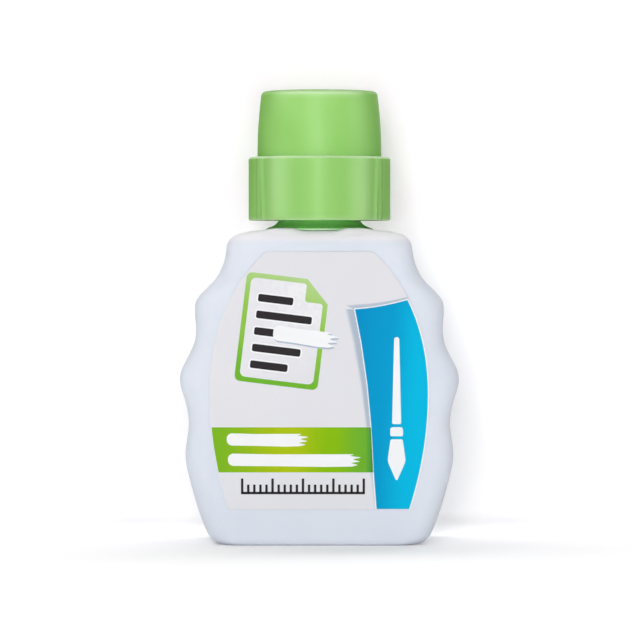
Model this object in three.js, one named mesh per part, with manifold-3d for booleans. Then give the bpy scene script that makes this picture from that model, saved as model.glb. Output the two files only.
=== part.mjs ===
import * as THREE from 'three';
import { mergeVertices } from 'three/addons/utils/BufferGeometryUtils.js';
import Module from 'manifold-3d';

// Correction fluid bottle: a flat, waisted bottle with two labels, and a padded screw cap that carries
// the brush. Millimetres, +Z up. The origin is the middle of the base, and the front faces -Y.

// Bottle side outline, from the foot up. A station lies `rise` above the one before it, and has the
// bottle's half width there and how fast that grows with height.
const footHalfWidth = 15.4;
const footSideRadius = 3.2;
const footSideSlope = 0.32;
const bellyUndersideInset = 0.56;
const bellyTopsideInset = 1.0;
const hipInset = 2.2;
const lowerLobe = { rise: 12.4, halfWidth: 22.1, slope: 0 };
const lowerWaist = { rise: 5.4, halfWidth: 21.5, slope: 0 };
const belly = { rise: 2.4, halfWidth: 23.0, slope: 0 };
const bellyUnderside = { rise: 4.8, halfWidth: belly.halfWidth - bellyUndersideInset, slope: 0.33 };
const bellyTopside = { rise: 2.9, halfWidth: belly.halfWidth - bellyTopsideInset, slope: -0.5 };
const upperWaist = { rise: 5.3, halfWidth: 20.3, slope: 0 };
const upperLobe = { rise: 3.3, halfWidth: 20.5, slope: 0 };
const hip = { rise: 3.7, halfWidth: upperLobe.halfWidth - hipInset, slope: -1.1 };
const shoulderStart = { rise: 6.3, halfWidth: 15.2, slope: -0.2 };
const sideStations = [
  lowerLobe, lowerWaist, bellyUnderside, belly, bellyTopside, upperWaist, upperLobe, hip, shoulderStart,
];

// Bottle front to back, foot, shoulder and walls
const bodyDepth = 21;
const bodyEdgeRadius = 3.6;
const footFrontRadius = 2.4;
const footRingWidth = 2.2;
const footRecess = 0.5;
const bodyWall = 1.3;
const insideCornerRadius = 1.5;
const leastCornerRadius = 0.3;
const shoulderCorner = { rise: 2.67, sideInset: 2.1, frontInset: 1.9 };
const deck = { rise: 0.53, sideInset: 3.1, frontInset: 0.8 };

// Labels: widest a little above the lower waist, and inside the flat of the bottle's face all round
const labelThickness = 0.2;
const labelTopMargin = 0.15;
const labelFootMargin = 3.8;
const labelShoulderInset = 6.3;
const labelWaistInset = 3.4;
const labelFootInset = 4.8;
const labelWidestRise = 4.8;
const labelSideReach = 14.5;

// Brush: a tuft of bristles held by a wire in the end of a stem
const tuftRootRadius = 1;
const tuftRootDepth = 3;
const tuftBellyRadius = 2;
const tuftTipRadius = 0.8;
const tuftTipRound = 0.05;
const tuftLength = 12;
const tuftFloorGap = 7.2;
const anchorThickness = 0.3;
const anchorHeight = 1;
const stemWall = 0.42;
const spigotLength = 4.5;
const brushFit = 0.08;

// Neck, from the brush outwards: wiper, bore, wall and the ramps of the thread
const brushClearance = 0.4;
const wiperLipWidth = 0.2;
const wiperWall = 1.05;
const wiperFit = 0.1;
const wiperSleeveLength = 6;
const wiperFlangeThickness = 0.6;
const wiperFlangeInset = 0.2;
const neckWall = 1.15;
const neckRimChamfer = 0.3;
const rimAboveRamps = 1.7;
const threadCount = 2;
const threadDepth = 0.7;
const threadRootHeight = 1.3;
const threadCrestHeight = 0.7;
const rampClimb = 2.5;
const rampGapAngle = 30;

// Inner cap, with lugs that turn under the ramps and lift out through the gaps between them
const threadClearance = 0.35;
const innerCapWall = 0.85;
const innerCapChamfer = 0.4;
const capPlateThickness = 1.2;
const skirtGap = 0.3;
const skirtFlare = 2.45;
const skirtHeight = 1.5;
const skirtLip = 0.5;
const lugHeight = 1;
const lugRampGap = 0.15;
const lugNeckGap = 0.25;
const lugPassAngle = 8;
const linerThickness = 0.95;
const linerClearance = 0.3;
const stackGap = 0.05;

// Cap shell: a smooth dome over a padded collar
const collarGap = 1.7;
const collarHeight = 10.75;
const collarStep = 1.5;
const collarNotchDepth = 0.45;
const collarLobeDepth = 0.25;
const collarLobes = 3;
const frontPadHalfAngle = 53.5;
const notchAngle = 7;
const domeHeight = 10.85;
const domeTaper = 0.67;
const domeBulge = 0.12;
const domeCornerRadius = 0.8;
const shellWall = 1.2;
const shellAirGap = 2.3;
const gripRibCount = 6;
const gripRibThickness = 1.2;
const gripRibDepth = 7;
const gripFit = 0.1;

// How far joined solids run into each other, and how far a cut runs past a face
const joinDepth = 0.4;
const cutOverrun = 1;

// How finely round shapes are divided
const edgeSteps = 5;
const runSteps = 4;
const cornerSteps = 5;
const labelSteps = 12;
const rampSteps = 10;
const lugSteps = 2;
const collarSteps = 120;
const shellSegments = 60;
const innerSegments = 32;
const brushSegments = 20;

const quarterTurn = Math.PI / 2;
const radians = THREE.MathUtils.degToRad;

const wasm = await Module();
wasm.setup();

function toSolid(geometry) {
  const bare = geometry.clone();
  bare.deleteAttribute('normal');
  bare.deleteAttribute('uv');
  const merged = mergeVertices(bare);
  const vertProperties = new Float32Array(merged.attributes.position.array);
  const triVerts = new Uint32Array(merged.index.array);
  return new wasm.Manifold(new wasm.Mesh({ numProp: 3, vertProperties, triVerts }));
}

function toGeometry(solid) {
  const mesh = solid.getMesh();
  const geometry = new THREE.BufferGeometry();
  geometry.setAttribute('position', new THREE.BufferAttribute(mesh.vertProperties, 3));
  geometry.setIndex(new THREE.BufferAttribute(mesh.triVerts, 1));
  return geometry;
}

function join(...geometries) {
  return geometries.map(toSolid).reduce((whole, piece) => whole.add(piece));
}

function times(count, make) {
  return Array.from({ length: count }, (_, number) => make(number));
}

// A solid through a stack of rings that all have the same number of points
function loft(rings) {
  const count = rings[0].length;
  const positions = rings.flat().flatMap((point) => [point.x, point.y, point.z]);
  const index = [];
  for (let level = 0; level + 1 < rings.length; level += 1) {
    for (let side = 0; side < count; side += 1) {
      const low = level * count + side;
      const lowNext = level * count + (side + 1) % count;
      index.push(low, lowNext, lowNext + count, low, lowNext + count, low + count);
    }
  }
  for (const [level, facesDown] of [[0, true], [rings.length - 1, false]]) {
    const middle = new THREE.Vector3();
    rings[level].forEach((point) => middle.addScaledVector(point, 1 / count));
    const centre = positions.length / 3;
    positions.push(middle.x, middle.y, middle.z);
    for (let side = 0; side < count; side += 1) {
      const here = level * count + side;
      const next = level * count + (side + 1) % count;
      index.push(...(facesDown ? [next, here, centre] : [here, next, centre]));
    }
  }
  const geometry = new THREE.BufferGeometry();
  geometry.setAttribute('position', new THREE.Float32BufferAttribute(positions, 3));
  geometry.setIndex(index);
  return geometry;
}

// A turned solid about Z from a profile of [radius, height] pairs
function turned(profile, segments) {
  const points = profile.map(([radius, height]) => new THREE.Vector2(radius, height));
  return new THREE.LatheGeometry(points, segments).rotateX(quarterTurn);
}

function cylinder(radius, low, high, segments) {
  return turned([[0, low], [radius, low], [radius, high], [0, high]], segments);
}

// Points along part of an ellipse, between two angles in degrees
function arc(centre, radiusAcross, radiusUp, from, to, steps) {
  return times(steps + 1, (step) => {
    const angle = radians(from + (to - from) * step / steps);
    return [centre[0] + radiusAcross * Math.cos(angle), centre[1] + radiusUp * Math.sin(angle)];
  });
}

// How far a round corner is drawn in at a height above the face that it starts from
function drawnIn(height, radius) {
  if (height >= radius) {
    return 0;
  }
  const left = 1 - height / radius;
  return radius * (1 - Math.sqrt(1 - left * left));
}

// A smooth run between two stations, which keeps the slope that each has
function smoothWidth(low, high, share) {
  const height = high.z - low.z;
  const square = share * share;
  const cube = square * share;
  const towards = 3 * square - 2 * cube;
  const fromLow = cube - 2 * square + share;
  const fromHigh = cube - square;
  return low.halfWidth + (high.halfWidth - low.halfWidth) * towards
    + height * (fromLow * low.slope + fromHigh * high.slope);
}

const footSideAngle = Math.atan(footSideSlope);
const footCornerEnd = {
  z: footSideRadius * (1 - Math.sin(footSideAngle)),
  halfWidth: footHalfWidth + footSideRadius * Math.cos(footSideAngle),
  slope: footSideSlope,
};
const stations = sideStations.reduce(
  (list, station) => [...list, { ...station, z: list.at(-1).z + station.rise }],
  [footCornerEnd],
);
const heightOf = (station) => stations[sideStations.indexOf(station) + 1].z;
const shoulderZ = heightOf(shoulderStart);
const deckZ = shoulderZ + shoulderCorner.rise + deck.rise;
const halfDepth = bodyDepth / 2;

// Half width of the bottle at a height up to its shoulder
function sideHalfWidth(z) {
  if (z < footCornerEnd.z) {
    return footHalfWidth + footSideRadius - drawnIn(z, footSideRadius);
  }
  const above = Math.max(1, stations.findIndex((station) => station.z >= z));
  const low = stations[above - 1];
  const high = stations[above];
  return smoothWidth(low, high, (z - low.z) / (high.z - low.z));
}

// Level sections of the bottle from a floor up. The inside is the same form, set in by the wall.
function bodySections({ inset, floor, sideRadius, frontRadius, cornerEnd }) {
  const cornerHeights = times(cornerSteps + 1, (step) => {
    const angle = quarterTurn * step / cornerSteps;
    return floor + (cornerEnd - floor) * (1 - Math.cos(angle));
  });
  const runHeights = stations.slice(1).flatMap((high, run) => times(runSteps, (step) => (
    stations[run].z + (high.z - stations[run].z) * (step + 1) / runSteps
  )));
  const heights = [...cornerHeights, ...runHeights.filter((z) => z > cornerEnd + joinDepth)];
  const sections = heights.map((z) => ({
    z,
    halfWidth: sideHalfWidth(z) - inset - drawnIn(z - floor, sideRadius),
    halfDepth: halfDepth - inset - drawnIn(z - floor, frontRadius),
  }));
  const shoulder = sections.at(-1);
  const cornerRise = shoulderCorner.rise - inset;
  for (let step = 1; step <= cornerSteps; step += 1) {
    const angle = quarterTurn * step / cornerSteps;
    const share = 1 - Math.cos(angle);
    sections.push({
      z: shoulder.z + cornerRise * Math.sin(angle),
      halfWidth: shoulder.halfWidth - shoulderCorner.sideInset * share,
      halfDepth: shoulder.halfDepth - shoulderCorner.frontInset * share,
    });
  }
  const last = sections.at(-1);
  sections.push({
    z: last.z + deck.rise,
    halfWidth: last.halfWidth - deck.sideInset,
    halfDepth: last.halfDepth - deck.frontInset,
  });
  return sections;
}

// A level rounded rectangle, anticlockwise seen from above
function roundedRing(section, fullRadius) {
  const radius = Math.max(leastCornerRadius, fullRadius);
  const middleX = section.halfWidth - radius;
  const middleY = section.halfDepth - radius;
  const corners = [[1, 1, 0], [-1, 1, 90], [-1, -1, 180], [1, -1, 270]];
  return corners.flatMap(([signX, signY, from]) => (
    arc([signX * middleX, signY * middleY], radius, radius, from, from + 90, edgeSteps)
      .map(([x, y]) => new THREE.Vector3(x, y, section.z))
  ));
}

// A bar that follows a helix round the Z axis, with its middle line at `startZ` where it starts
function helixBar({ inner, outer, startAngle, span, startZ, climb, steps }) {
  return loft(times(steps + 1, (step) => {
    const angle = radians(startAngle + span * step / steps);
    const z = startZ + climb * step / steps;
    const corner = (edge, side) => new THREE.Vector3(
      edge.radius * Math.cos(angle),
      edge.radius * Math.sin(angle),
      z + side * edge.height / 2,
    );
    return [corner(inner, -1), corner(inner, 1), corner(outer, 1), corner(outer, -1)];
  }));
}

// Sizes that follow from one another, from the brush outwards
const footFloor = bodyWall + footRecess;
const stemRadius = tuftRootRadius + brushFit + stemWall;
const wiperLipRadius = Math.max(tuftBellyRadius, stemRadius) + brushClearance;
const wiperBoreRadius = wiperLipRadius + wiperLipWidth;
const wiperRadius = wiperBoreRadius + wiperWall;
const neckBoreRadius = wiperRadius + wiperFit;
const neckRadius = neckBoreRadius + neckWall;
const innerCapBore = neckRadius + threadDepth + threadClearance;
const innerCapRadius = innerCapBore + innerCapWall;
const skirtRadius = innerCapRadius + skirtFlare;
const domeHollowRadius = innerCapRadius + shellAirGap;
const domeFootRadius = domeHollowRadius + shellWall;
const domeTopRadius = domeFootRadius - domeTaper;
const collarRadius = domeFootRadius + collarStep;
const collarHollowRadius = collarRadius - collarNotchDepth - shellWall;

// Heights that follow from one another, from the deck up
const innerCapLow = deckZ + skirtGap;
const skirtTop = innerCapLow + skirtHeight;
const lugMiddle = skirtTop + innerCapWall + lugHeight / 2;
const rampMiddle = lugMiddle + lugHeight / 2 + lugRampGap + threadRootHeight / 2;
const rimZ = rampMiddle + rampClimb + threadRootHeight / 2 + rimAboveRamps;
const linerLow = rimZ + wiperFlangeThickness + stackGap;
const plateLow = linerLow + linerThickness + stackGap;
const plateTop = plateLow + capPlateThickness;
const stemTop = plateLow - stackGap;
const tuftTipZ = footFloor + tuftFloorGap;
const stemLow = tuftTipZ + tuftLength;
const anchorZ = stemLow + tuftRootDepth / 2;
const collarLow = deckZ + collarGap;
const collarTop = collarLow + collarHeight;
const shellTop = collarTop + domeHeight;
const shellCeiling = shellTop - shellWall;
const rampSpan = 360 / threadCount - rampGapAngle;
const lugSpan = rampGapAngle - lugPassAngle;

function bottleBody() {
  const outside = bodySections({
    inset: 0,
    floor: 0,
    sideRadius: 0,
    frontRadius: footFrontRadius,
    cornerEnd: footCornerEnd.z,
  });
  const inside = bodySections({
    inset: bodyWall,
    floor: footFloor,
    sideRadius: insideCornerRadius,
    frontRadius: insideCornerRadius,
    cornerEnd: footFloor + insideCornerRadius,
  });
  const ringInside = {
    z: 0,
    halfWidth: outside[0].halfWidth - footRingWidth,
    halfDepth: outside[0].halfDepth - footRingWidth,
  };
  const recess = {
    z: footRecess,
    halfWidth: ringInside.halfWidth - footRecess,
    halfDepth: ringInside.halfDepth - footRecess,
  };
  const shell = loft([
    roundedRing(recess, bodyEdgeRadius - footRingWidth),
    roundedRing(ringInside, bodyEdgeRadius - footRingWidth),
    ...outside.map((section) => roundedRing(section, bodyEdgeRadius)),
  ]);
  const neck = turned([
    [0, deckZ - joinDepth],
    [neckRadius, deckZ - joinDepth],
    [neckRadius, rimZ - neckRimChamfer],
    [neckRadius - neckRimChamfer, rimZ],
    [0, rimZ],
  ], innerSegments);
  const ramps = times(threadCount, (number) => helixBar({
    inner: { radius: neckRadius - joinDepth, height: threadRootHeight },
    outer: { radius: neckRadius + threadDepth, height: threadCrestHeight },
    startAngle: number * 360 / threadCount,
    span: rampSpan,
    startZ: rampMiddle,
    climb: rampClimb,
    steps: rampSteps,
  }));
  const hollow = loft(inside.map((section) => roundedRing(section, bodyEdgeRadius - bodyWall)));
  const bore = cylinder(neckBoreRadius, deckZ - bodyWall - cutOverrun, rimZ + cutOverrun, innerSegments);
  return toGeometry(join(shell, neck, ...ramps).subtract(toSolid(hollow)).subtract(toSolid(bore)));
}

// The label's outline: level at the foot and the shoulder, with bowed sides that are upright at their
// widest point
function labelShape() {
  const foot = new THREE.Vector2(0, footCornerEnd.z + labelFootMargin);
  foot.x = sideHalfWidth(foot.y) - labelFootInset;
  const widest = new THREE.Vector2(
    lowerWaist.halfWidth - labelWaistInset,
    heightOf(lowerWaist) + labelWidestRise,
  );
  const shoulder = new THREE.Vector2(
    shoulderStart.halfWidth - labelShoulderInset,
    shoulderZ - labelTopMargin,
  );
  const lowerBend = new THREE.Vector2(widest.x, (foot.y + widest.y) / 2);
  const upperBend = new THREE.Vector2(widest.x, widest.y + labelSideReach);
  const right = [
    ...new THREE.QuadraticBezierCurve(foot, lowerBend, widest).getPoints(labelSteps),
    ...new THREE.QuadraticBezierCurve(widest, upperBend, shoulder).getPoints(labelSteps).slice(1),
  ];
  const left = right.map((point) => new THREE.Vector2(-point.x, point.y)).reverse();
  return new THREE.Shape([...right, ...left]);
}

// A label lies flat on the front or the back of the bottle
function label(facesFront) {
  const plate = new THREE.ExtrudeGeometry(labelShape(), { depth: labelThickness, bevelEnabled: false });
  plate.rotateX(quarterTurn);
  return plate.translate(0, facesFront ? -halfDepth : halfDepth + labelThickness, 0);
}

function neckWiper() {
  const low = rimZ - wiperSleeveLength;
  const flangeTop = rimZ + wiperFlangeThickness;
  return turned([
    [wiperLipRadius, low],
    [wiperRadius, low],
    [wiperRadius, rimZ],
    [neckRadius - wiperFlangeInset, rimZ],
    [neckRadius - wiperFlangeInset, flangeTop],
    [wiperBoreRadius, flangeTop],
    [wiperBoreRadius, low + wiperLipWidth],
    [wiperLipRadius, low],
  ], innerSegments);
}

function sealLiner() {
  const inner = stemRadius + linerClearance;
  const outer = innerCapBore - linerClearance;
  const top = linerLow + linerThickness;
  return turned([
    [inner, linerLow],
    [outer, linerLow],
    [outer, top],
    [inner, top],
    [inner, linerLow],
  ], innerSegments);
}

// Inner cap: the cup with its lugs, the spigot for the brush and the flared skirt that hides the neck
function innerCap() {
  const spigotRadius = stemRadius - stemWall - brushFit;
  const undersideRadius = skirtRadius - skirtLip;
  const undersideHeight = skirtHeight + innerCapWall;
  const underside = arc([undersideRadius, skirtTop + innerCapWall],
    undersideRadius - innerCapBore, undersideHeight, 180, 270, cornerSteps);
  const flare = arc([skirtRadius, skirtTop], skirtFlare, skirtHeight, 270, 180, cornerSteps);
  const cup = turned([
    [0, plateLow - spigotLength],
    [spigotRadius, plateLow - spigotLength],
    [spigotRadius, plateLow],
    [innerCapBore, plateLow],
    ...underside,
    ...flare,
    [innerCapRadius, plateTop - innerCapChamfer],
    [innerCapRadius - innerCapChamfer, plateTop],
    [0, plateTop],
  ], innerSegments);
  const lugs = times(threadCount, (number) => helixBar({
    inner: { radius: neckRadius + lugNeckGap, height: lugHeight },
    outer: { radius: innerCapBore + joinDepth, height: lugHeight },
    startAngle: number * 360 / threadCount,
    span: lugSpan,
    startZ: lugMiddle,
    climb: 0,
    steps: lugSteps,
  }));
  return toGeometry(join(cup, ...lugs));
}

// Collar radius at an angle from the front or the back: soft lobes on the wide pads, then a notch,
// then a plain pad on the side
function collarRadiusAt(degrees) {
  const fromFront = Math.abs(THREE.MathUtils.euclideanModulo(degrees + 90, 180) - 90);
  if (fromFront <= frontPadHalfAngle) {
    const wave = Math.cos(fromFront / frontPadHalfAngle * collarLobes * Math.PI);
    return collarRadius - collarLobeDepth * (1 - wave) / 2;
  }
  return fromFront < frontPadHalfAngle + notchAngle ? collarRadius - collarNotchDepth : collarRadius;
}

function collarShape() {
  return new THREE.Shape(times(collarSteps, (step) => {
    const degrees = 360 * step / collarSteps;
    const radius = collarRadiusAt(degrees - 90);
    return new THREE.Vector2(radius * Math.cos(radians(degrees)), radius * Math.sin(radians(degrees)));
  }));
}

// Outline of the dome from the collar to the middle of its top: a slightly bowed side, then a corner
function domeProfile() {
  const cornerZ = shellTop - domeCornerRadius;
  const side = times(cornerSteps + 1, (step) => {
    const share = step / cornerSteps;
    const bow = domeBulge * Math.sin(Math.PI * share);
    return [domeFootRadius - domeTaper * share + bow, collarTop + (cornerZ - collarTop) * share];
  });
  const corner = arc([domeTopRadius - domeCornerRadius, cornerZ],
    domeCornerRadius, domeCornerRadius, 0, 90, cornerSteps);
  return [...side, ...corner.slice(1), [0, shellTop]];
}

function capShell() {
  const collar = new THREE.ExtrudeGeometry(collarShape(), { depth: collarHeight, bevelEnabled: false });
  collar.translate(0, 0, collarLow);
  const domeLow = collarTop - joinDepth;
  const dome = turned([[0, domeLow], [domeFootRadius, domeLow], ...domeProfile()], shellSegments);
  const hollowLow = collarLow - cutOverrun;
  const collarHollow = cylinder(collarHollowRadius, hollowLow, collarTop - shellWall, shellSegments);
  const domeHollow = turned([
    [0, hollowLow],
    [domeHollowRadius, hollowLow],
    [domeHollowRadius, collarTop],
    [domeTopRadius - shellWall, shellCeiling],
    [0, shellCeiling],
  ], shellSegments);
  const shell = join(collar, dome).subtract(toSolid(collarHollow)).subtract(toSolid(domeHollow));
  const rib = {
    inner: innerCapRadius + gripFit,
    outer: collarHollowRadius + joinDepth,
    low: plateTop - gripRibDepth,
    high: collarTop - shellWall + joinDepth,
  };
  const ribs = times(gripRibCount, (number) => (
    new THREE.BoxGeometry(rib.outer - rib.inner, gripRibThickness, rib.high - rib.low)
      .translate((rib.inner + rib.outer) / 2, 0, (rib.low + rib.high) / 2)
      .rotateZ(radians(360 * number / gripRibCount))
  ));
  return toGeometry(shell.add(join(...ribs)));
}

// The stem is hollow at the top for the cap's spigot, and at the bottom for the tuft's root
function brushStem() {
  const boreRadius = stemRadius - stemWall;
  const socketTop = stemLow + tuftRootDepth;
  const boreEnd = plateLow - spigotLength - brushFit;
  return turned([
    [0, socketTop],
    [boreRadius, socketTop],
    [boreRadius, stemLow],
    [stemRadius, stemLow],
    [stemRadius, stemTop],
    [boreRadius, stemTop],
    [boreRadius, boreEnd],
    [0, boreEnd],
  ], brushSegments);
}

function bristleTuft() {
  const rootTop = stemLow + tuftRootDepth - brushFit;
  const bellyZ = (tuftTipZ + stemLow) / 2;
  const taper = arc([0, bellyZ], tuftBellyRadius, bellyZ - tuftTipZ, -90, 0, cornerSteps)
    .filter(([radius]) => radius > tuftTipRadius);
  const flare = times(cornerSteps, (step) => {
    const share = (step + 1) / cornerSteps;
    const narrowing = (1 - Math.cos(Math.PI * share)) / 2;
    const radius = tuftBellyRadius - (tuftBellyRadius - tuftRootRadius) * narrowing;
    return [radius, bellyZ + (stemLow - bellyZ) * share];
  });
  const bundle = turned([
    [0, tuftTipZ],
    [tuftTipRadius, tuftTipZ + tuftTipRound],
    ...taper,
    ...flare,
    [tuftRootRadius, rootTop],
    [0, rootTop],
  ], brushSegments);
  const slot = new THREE.BoxGeometry(
    tuftBellyRadius * 2,
    anchorThickness + brushFit * 2,
    anchorHeight + brushFit * 2,
  ).translate(0, 0, anchorZ);
  return toGeometry(toSolid(bundle).subtract(toSolid(slot)));
}

function tuftAnchor() {
  return new THREE.BoxGeometry(tuftRootRadius * 2, anchorThickness, anchorHeight).translate(0, 0, anchorZ);
}

const plastic = (color, roughness) => new THREE.MeshStandardMaterial({ color, roughness, metalness: 0 });

function piece(name, geometry, material) {
  const mesh = new THREE.Mesh(geometry, material);
  mesh.name = name;
  return mesh;
}

const bottle = new THREE.Group();
bottle.add(
  piece('bottle_body', bottleBody(), plastic(0xe2e6ec, 0.4)),
  piece('front_label', label(true), plastic(0xe2e2e7, 0.5)),
  piece('back_label', label(false), plastic(0xe2e2e7, 0.5)),
  piece('neck_wiper', neckWiper(), plastic(0xe9ecee, 0.35)),
);

const brass = new THREE.MeshStandardMaterial({ color: 0xc9a455, roughness: 0.35, metalness: 1 });
const closure = new THREE.Group();
closure.add(
  piece('seal_liner', sealLiner(), plastic(0xf2f0ea, 0.9)),
  piece('inner_cap', innerCap(), plastic(0x45963c, 0.45)),
  piece('cap_shell', capShell(), plastic(0x9fd580, 0.45)),
  piece('brush_stem', brushStem(), plastic(0xe9ecee, 0.35)),
  piece('bristle_tuft', bristleTuft(), plastic(0xf4f2ec, 0.7)),
  piece('tuft_anchor', tuftAnchor(), brass),
);

const correctionFluidBottle = new THREE.Group();
correctionFluidBottle.add(bottle, closure);

export default correctionFluidBottle;
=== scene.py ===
"""Looks of a correction fluid bottle: a waisted bottle with two labels, and a cap with its brush.

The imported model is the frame. Every piece made here stands for one of its nodes and rides on that
node's body. Sizes are in millimetres, and become metres when a mesh is made.
"""

from __future__ import annotations

import logging
import math
from bisect import bisect_left
from dataclasses import dataclass, field
from enum import Enum, IntEnum
from functools import reduce
from typing import Callable, ClassVar, Iterable, Sequence

import bmesh
import bpy
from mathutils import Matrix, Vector

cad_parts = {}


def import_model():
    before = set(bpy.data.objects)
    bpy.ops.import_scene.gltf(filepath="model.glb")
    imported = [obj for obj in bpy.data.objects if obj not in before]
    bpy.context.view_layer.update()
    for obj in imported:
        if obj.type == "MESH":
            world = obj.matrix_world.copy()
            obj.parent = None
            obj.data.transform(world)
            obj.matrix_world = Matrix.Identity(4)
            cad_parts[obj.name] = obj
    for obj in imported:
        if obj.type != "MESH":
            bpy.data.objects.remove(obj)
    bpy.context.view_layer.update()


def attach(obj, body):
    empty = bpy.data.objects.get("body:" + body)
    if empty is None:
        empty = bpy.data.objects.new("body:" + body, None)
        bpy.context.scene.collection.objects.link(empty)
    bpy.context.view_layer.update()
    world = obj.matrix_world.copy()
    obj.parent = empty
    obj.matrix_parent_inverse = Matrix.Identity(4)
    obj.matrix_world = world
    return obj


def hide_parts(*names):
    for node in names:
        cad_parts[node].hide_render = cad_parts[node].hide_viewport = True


log = logging.getLogger("correction_fluid_bottle")

MM = 0.001
FULL_TURN = 2 * math.pi
SHARP = 38.0
WHITE = (255, 255, 255)

Flat = tuple[float, float]
Spot = tuple[float, float, float]
Tint = tuple[int, int, int]
Ring = list[Spot]
Socket = bpy.types.NodeSocket
Node = bpy.types.Node
Piece = bpy.types.Object
Coat = tuple[Socket, Socket, Socket]


class Body(Enum):
    """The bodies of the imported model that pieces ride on."""

    BOTTLE = "bottle"
    LINER = "liner"
    CLOSURE = "closure"


class Mask(Enum):
    """Values kept on the points of a mesh for its finish to read."""

    RUB = "rub"
    NOOK = "nook"
    # Painted highlight: lightens the colour where light falls on crests, edges and the shoulder.
    PAINTED_HIGHLIGHT = "crest"
    # Painted shade: darkens the colour where shade falls in valleys, notches and on the dome's
    # crown.
    PAINTED_SHADE = "crease"
    FADE = "fade"


class Print(IntEnum):
    """The finishes of a label, by their place in its list."""

    FILM, BAND, PANEL, WHITE, SHADE, LEAF, DARK, RULE = range(8)


def linear(tint: Tint) -> tuple[float, float, float, float]:
    """Returns the scene colour of a screen colour given out of 255."""
    shares = [value / 255 for value in tint]
    return *(s / 12.92 if s <= 0.04045 else ((s + 0.055) / 1.055) ** 2.4 for s in shares), 1.0


def scale(size: float) -> float:
    """Returns the scale of a texture whose features are about that size."""
    return 1 / (size * MM)


def between(low: float, high: float, share: float) -> float:
    """Returns the value a share of the way from low to high."""
    return low + (high - low) * share


def mix(start: Flat, end: Flat, share: float) -> Flat:
    """Returns the point a share of the way from start to end."""
    return between(start[0], end[0], share), between(start[1], end[1], share)


def smooth(low: float, high: float, value: float) -> float:
    """Returns a soft step that is 0 up to low and 1 from high."""
    share = min(max((value - low) / (high - low), 0.0), 1.0)
    return share * share * (3 - 2 * share)


def span(table: Sequence[Sequence[float]], value: float) -> Sequence[Sequence[float]]:
    """Returns the two rows of a table in rising order that a value lies between."""
    end = min(max(bisect_left([row[0] for row in table], value), 1), len(table) - 1)
    return table[end - 1], table[end]


def along(table: Sequence[Flat], value: float) -> float:
    """Returns the second value at a first value, from pairs in rising order of their first."""
    low, high = span(table, value)
    return between(low[1], high[1], (value - low[0]) / (high[0] - low[0]))


def quarter(steps: int) -> list[float]:
    """Returns evenly spaced angles over a quarter turn, both ends included."""
    return [math.pi / 2 * step / steps for step in range(steps + 1)]


def run(start: Flat, end: Flat, steps: int) -> list[Flat]:
    """Returns evenly spaced points from start, without the end itself."""
    return [mix(start, end, step / steps) for step in range(steps)]


def arc(centre: Flat, across: float, up: float, first: float, last: float,
        steps: int) -> list[Flat]:
    """Returns points along part of an ellipse.

    Args:
        centre: Middle of the ellipse.
        across: Its radius across.
        up: Its radius upwards.
        first: Angle in degrees where the arc starts.
        last: Angle in degrees where it ends.
        steps: How many steps it has.

    Returns:
        The points, both ends included.
    """
    angles = [math.radians(between(first, last, step / steps)) for step in range(steps + 1)]
    return [(centre[0] + across * math.cos(a), centre[1] + up * math.sin(a)) for a in angles]


def rounded(corners: Sequence[Spot], closed: bool = False, steps: int = 5) -> list[Flat]:
    """Rounds the corners of an outline.

    Args:
        corners: Place across, place up and radius of each corner.
        closed: Whether the last corner joins the first.
        steps: Steps in each round.

    Returns:
        The outline's points in the same order.
    """
    points: list[Flat] = []
    count = len(corners)
    for number, (across, up, radius) in enumerate(corners):
        if radius <= 0 or (not closed and number in (0, count - 1)):
            points.append((across, up))
            continue
        here = Vector((across, up))
        back = Vector(corners[number - 1][:2]) - here
        ahead = Vector(corners[(number + 1) % count][:2]) - here
        half = back.angle(ahead) / 2
        reach = min(radius / math.tan(half), 0.48 * min(back.length, ahead.length))
        radius = reach * math.tan(half)
        inward = (back.normalized() + ahead.normalized()).normalized()
        middle = here + inward * radius / math.sin(half)
        start = here + back.normalized() * reach - middle
        end = here + ahead.normalized() * reach - middle
        first = math.atan2(start.y, start.x)
        turn = (math.atan2(end.y, end.x) - first + math.pi) % FULL_TURN - math.pi
        for angle in (first + turn * step / steps for step in range(steps + 1)):
            points.append((middle.x + radius * math.cos(angle),
                           middle.y + radius * math.sin(angle)))
    return points


def finish_mesh(mesh: bpy.types.Mesh, sharp: float = SHARP) -> None:
    """Marks the rubbed edges and nooks of a mesh, from how its faces turn, and smooths it.

    Args:
        mesh: A finished mesh in metres.
        sharp: Angle in degrees past which an edge is left sharp.
    """
    shape = bmesh.new()
    shape.from_mesh(mesh)
    rub, nook = [0.0] * len(shape.verts), [0.0] * len(shape.verts)
    for edge in shape.edges:
        if len(edge.link_faces) != 2:
            continue
        one, other = edge.link_faces
        apart = (one.calc_center_median() - other.calc_center_median()).length / MM
        bend = edge.calc_face_angle_signed(0.0) / max(apart, 0.03)
        values = rub if bend > 0 else nook
        for corner in edge.verts:
            values[corner.index] = max(values[corner.index], smooth(0.4, 2.4, abs(bend)))
    shape.free()
    for mask, values in ((Mask.RUB, rub), (Mask.NOOK, nook)):
        mesh.attributes.new(mask.value, "FLOAT", "POINT").data.foreach_set("value", values)
    mesh.shade_smooth()
    mesh.set_sharp_from_angle(angle=math.radians(sharp))


def show(name: str, data: bpy.types.ID) -> Piece:
    """Returns a new object for a mesh, a lamp or a camera, linked to the scene."""
    bpy.context.scene.collection.objects.link(made := bpy.data.objects.new(name, data))
    return made


def turn_to(thing: Piece, place: Vector, target: Vector) -> None:
    """Puts a lamp or a camera in its place and turns it to a target."""
    thing.location, thing.rotation_mode = place, "QUATERNION"
    thing.rotation_quaternion = (target - place).to_track_quat("-Z", "Y")


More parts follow.
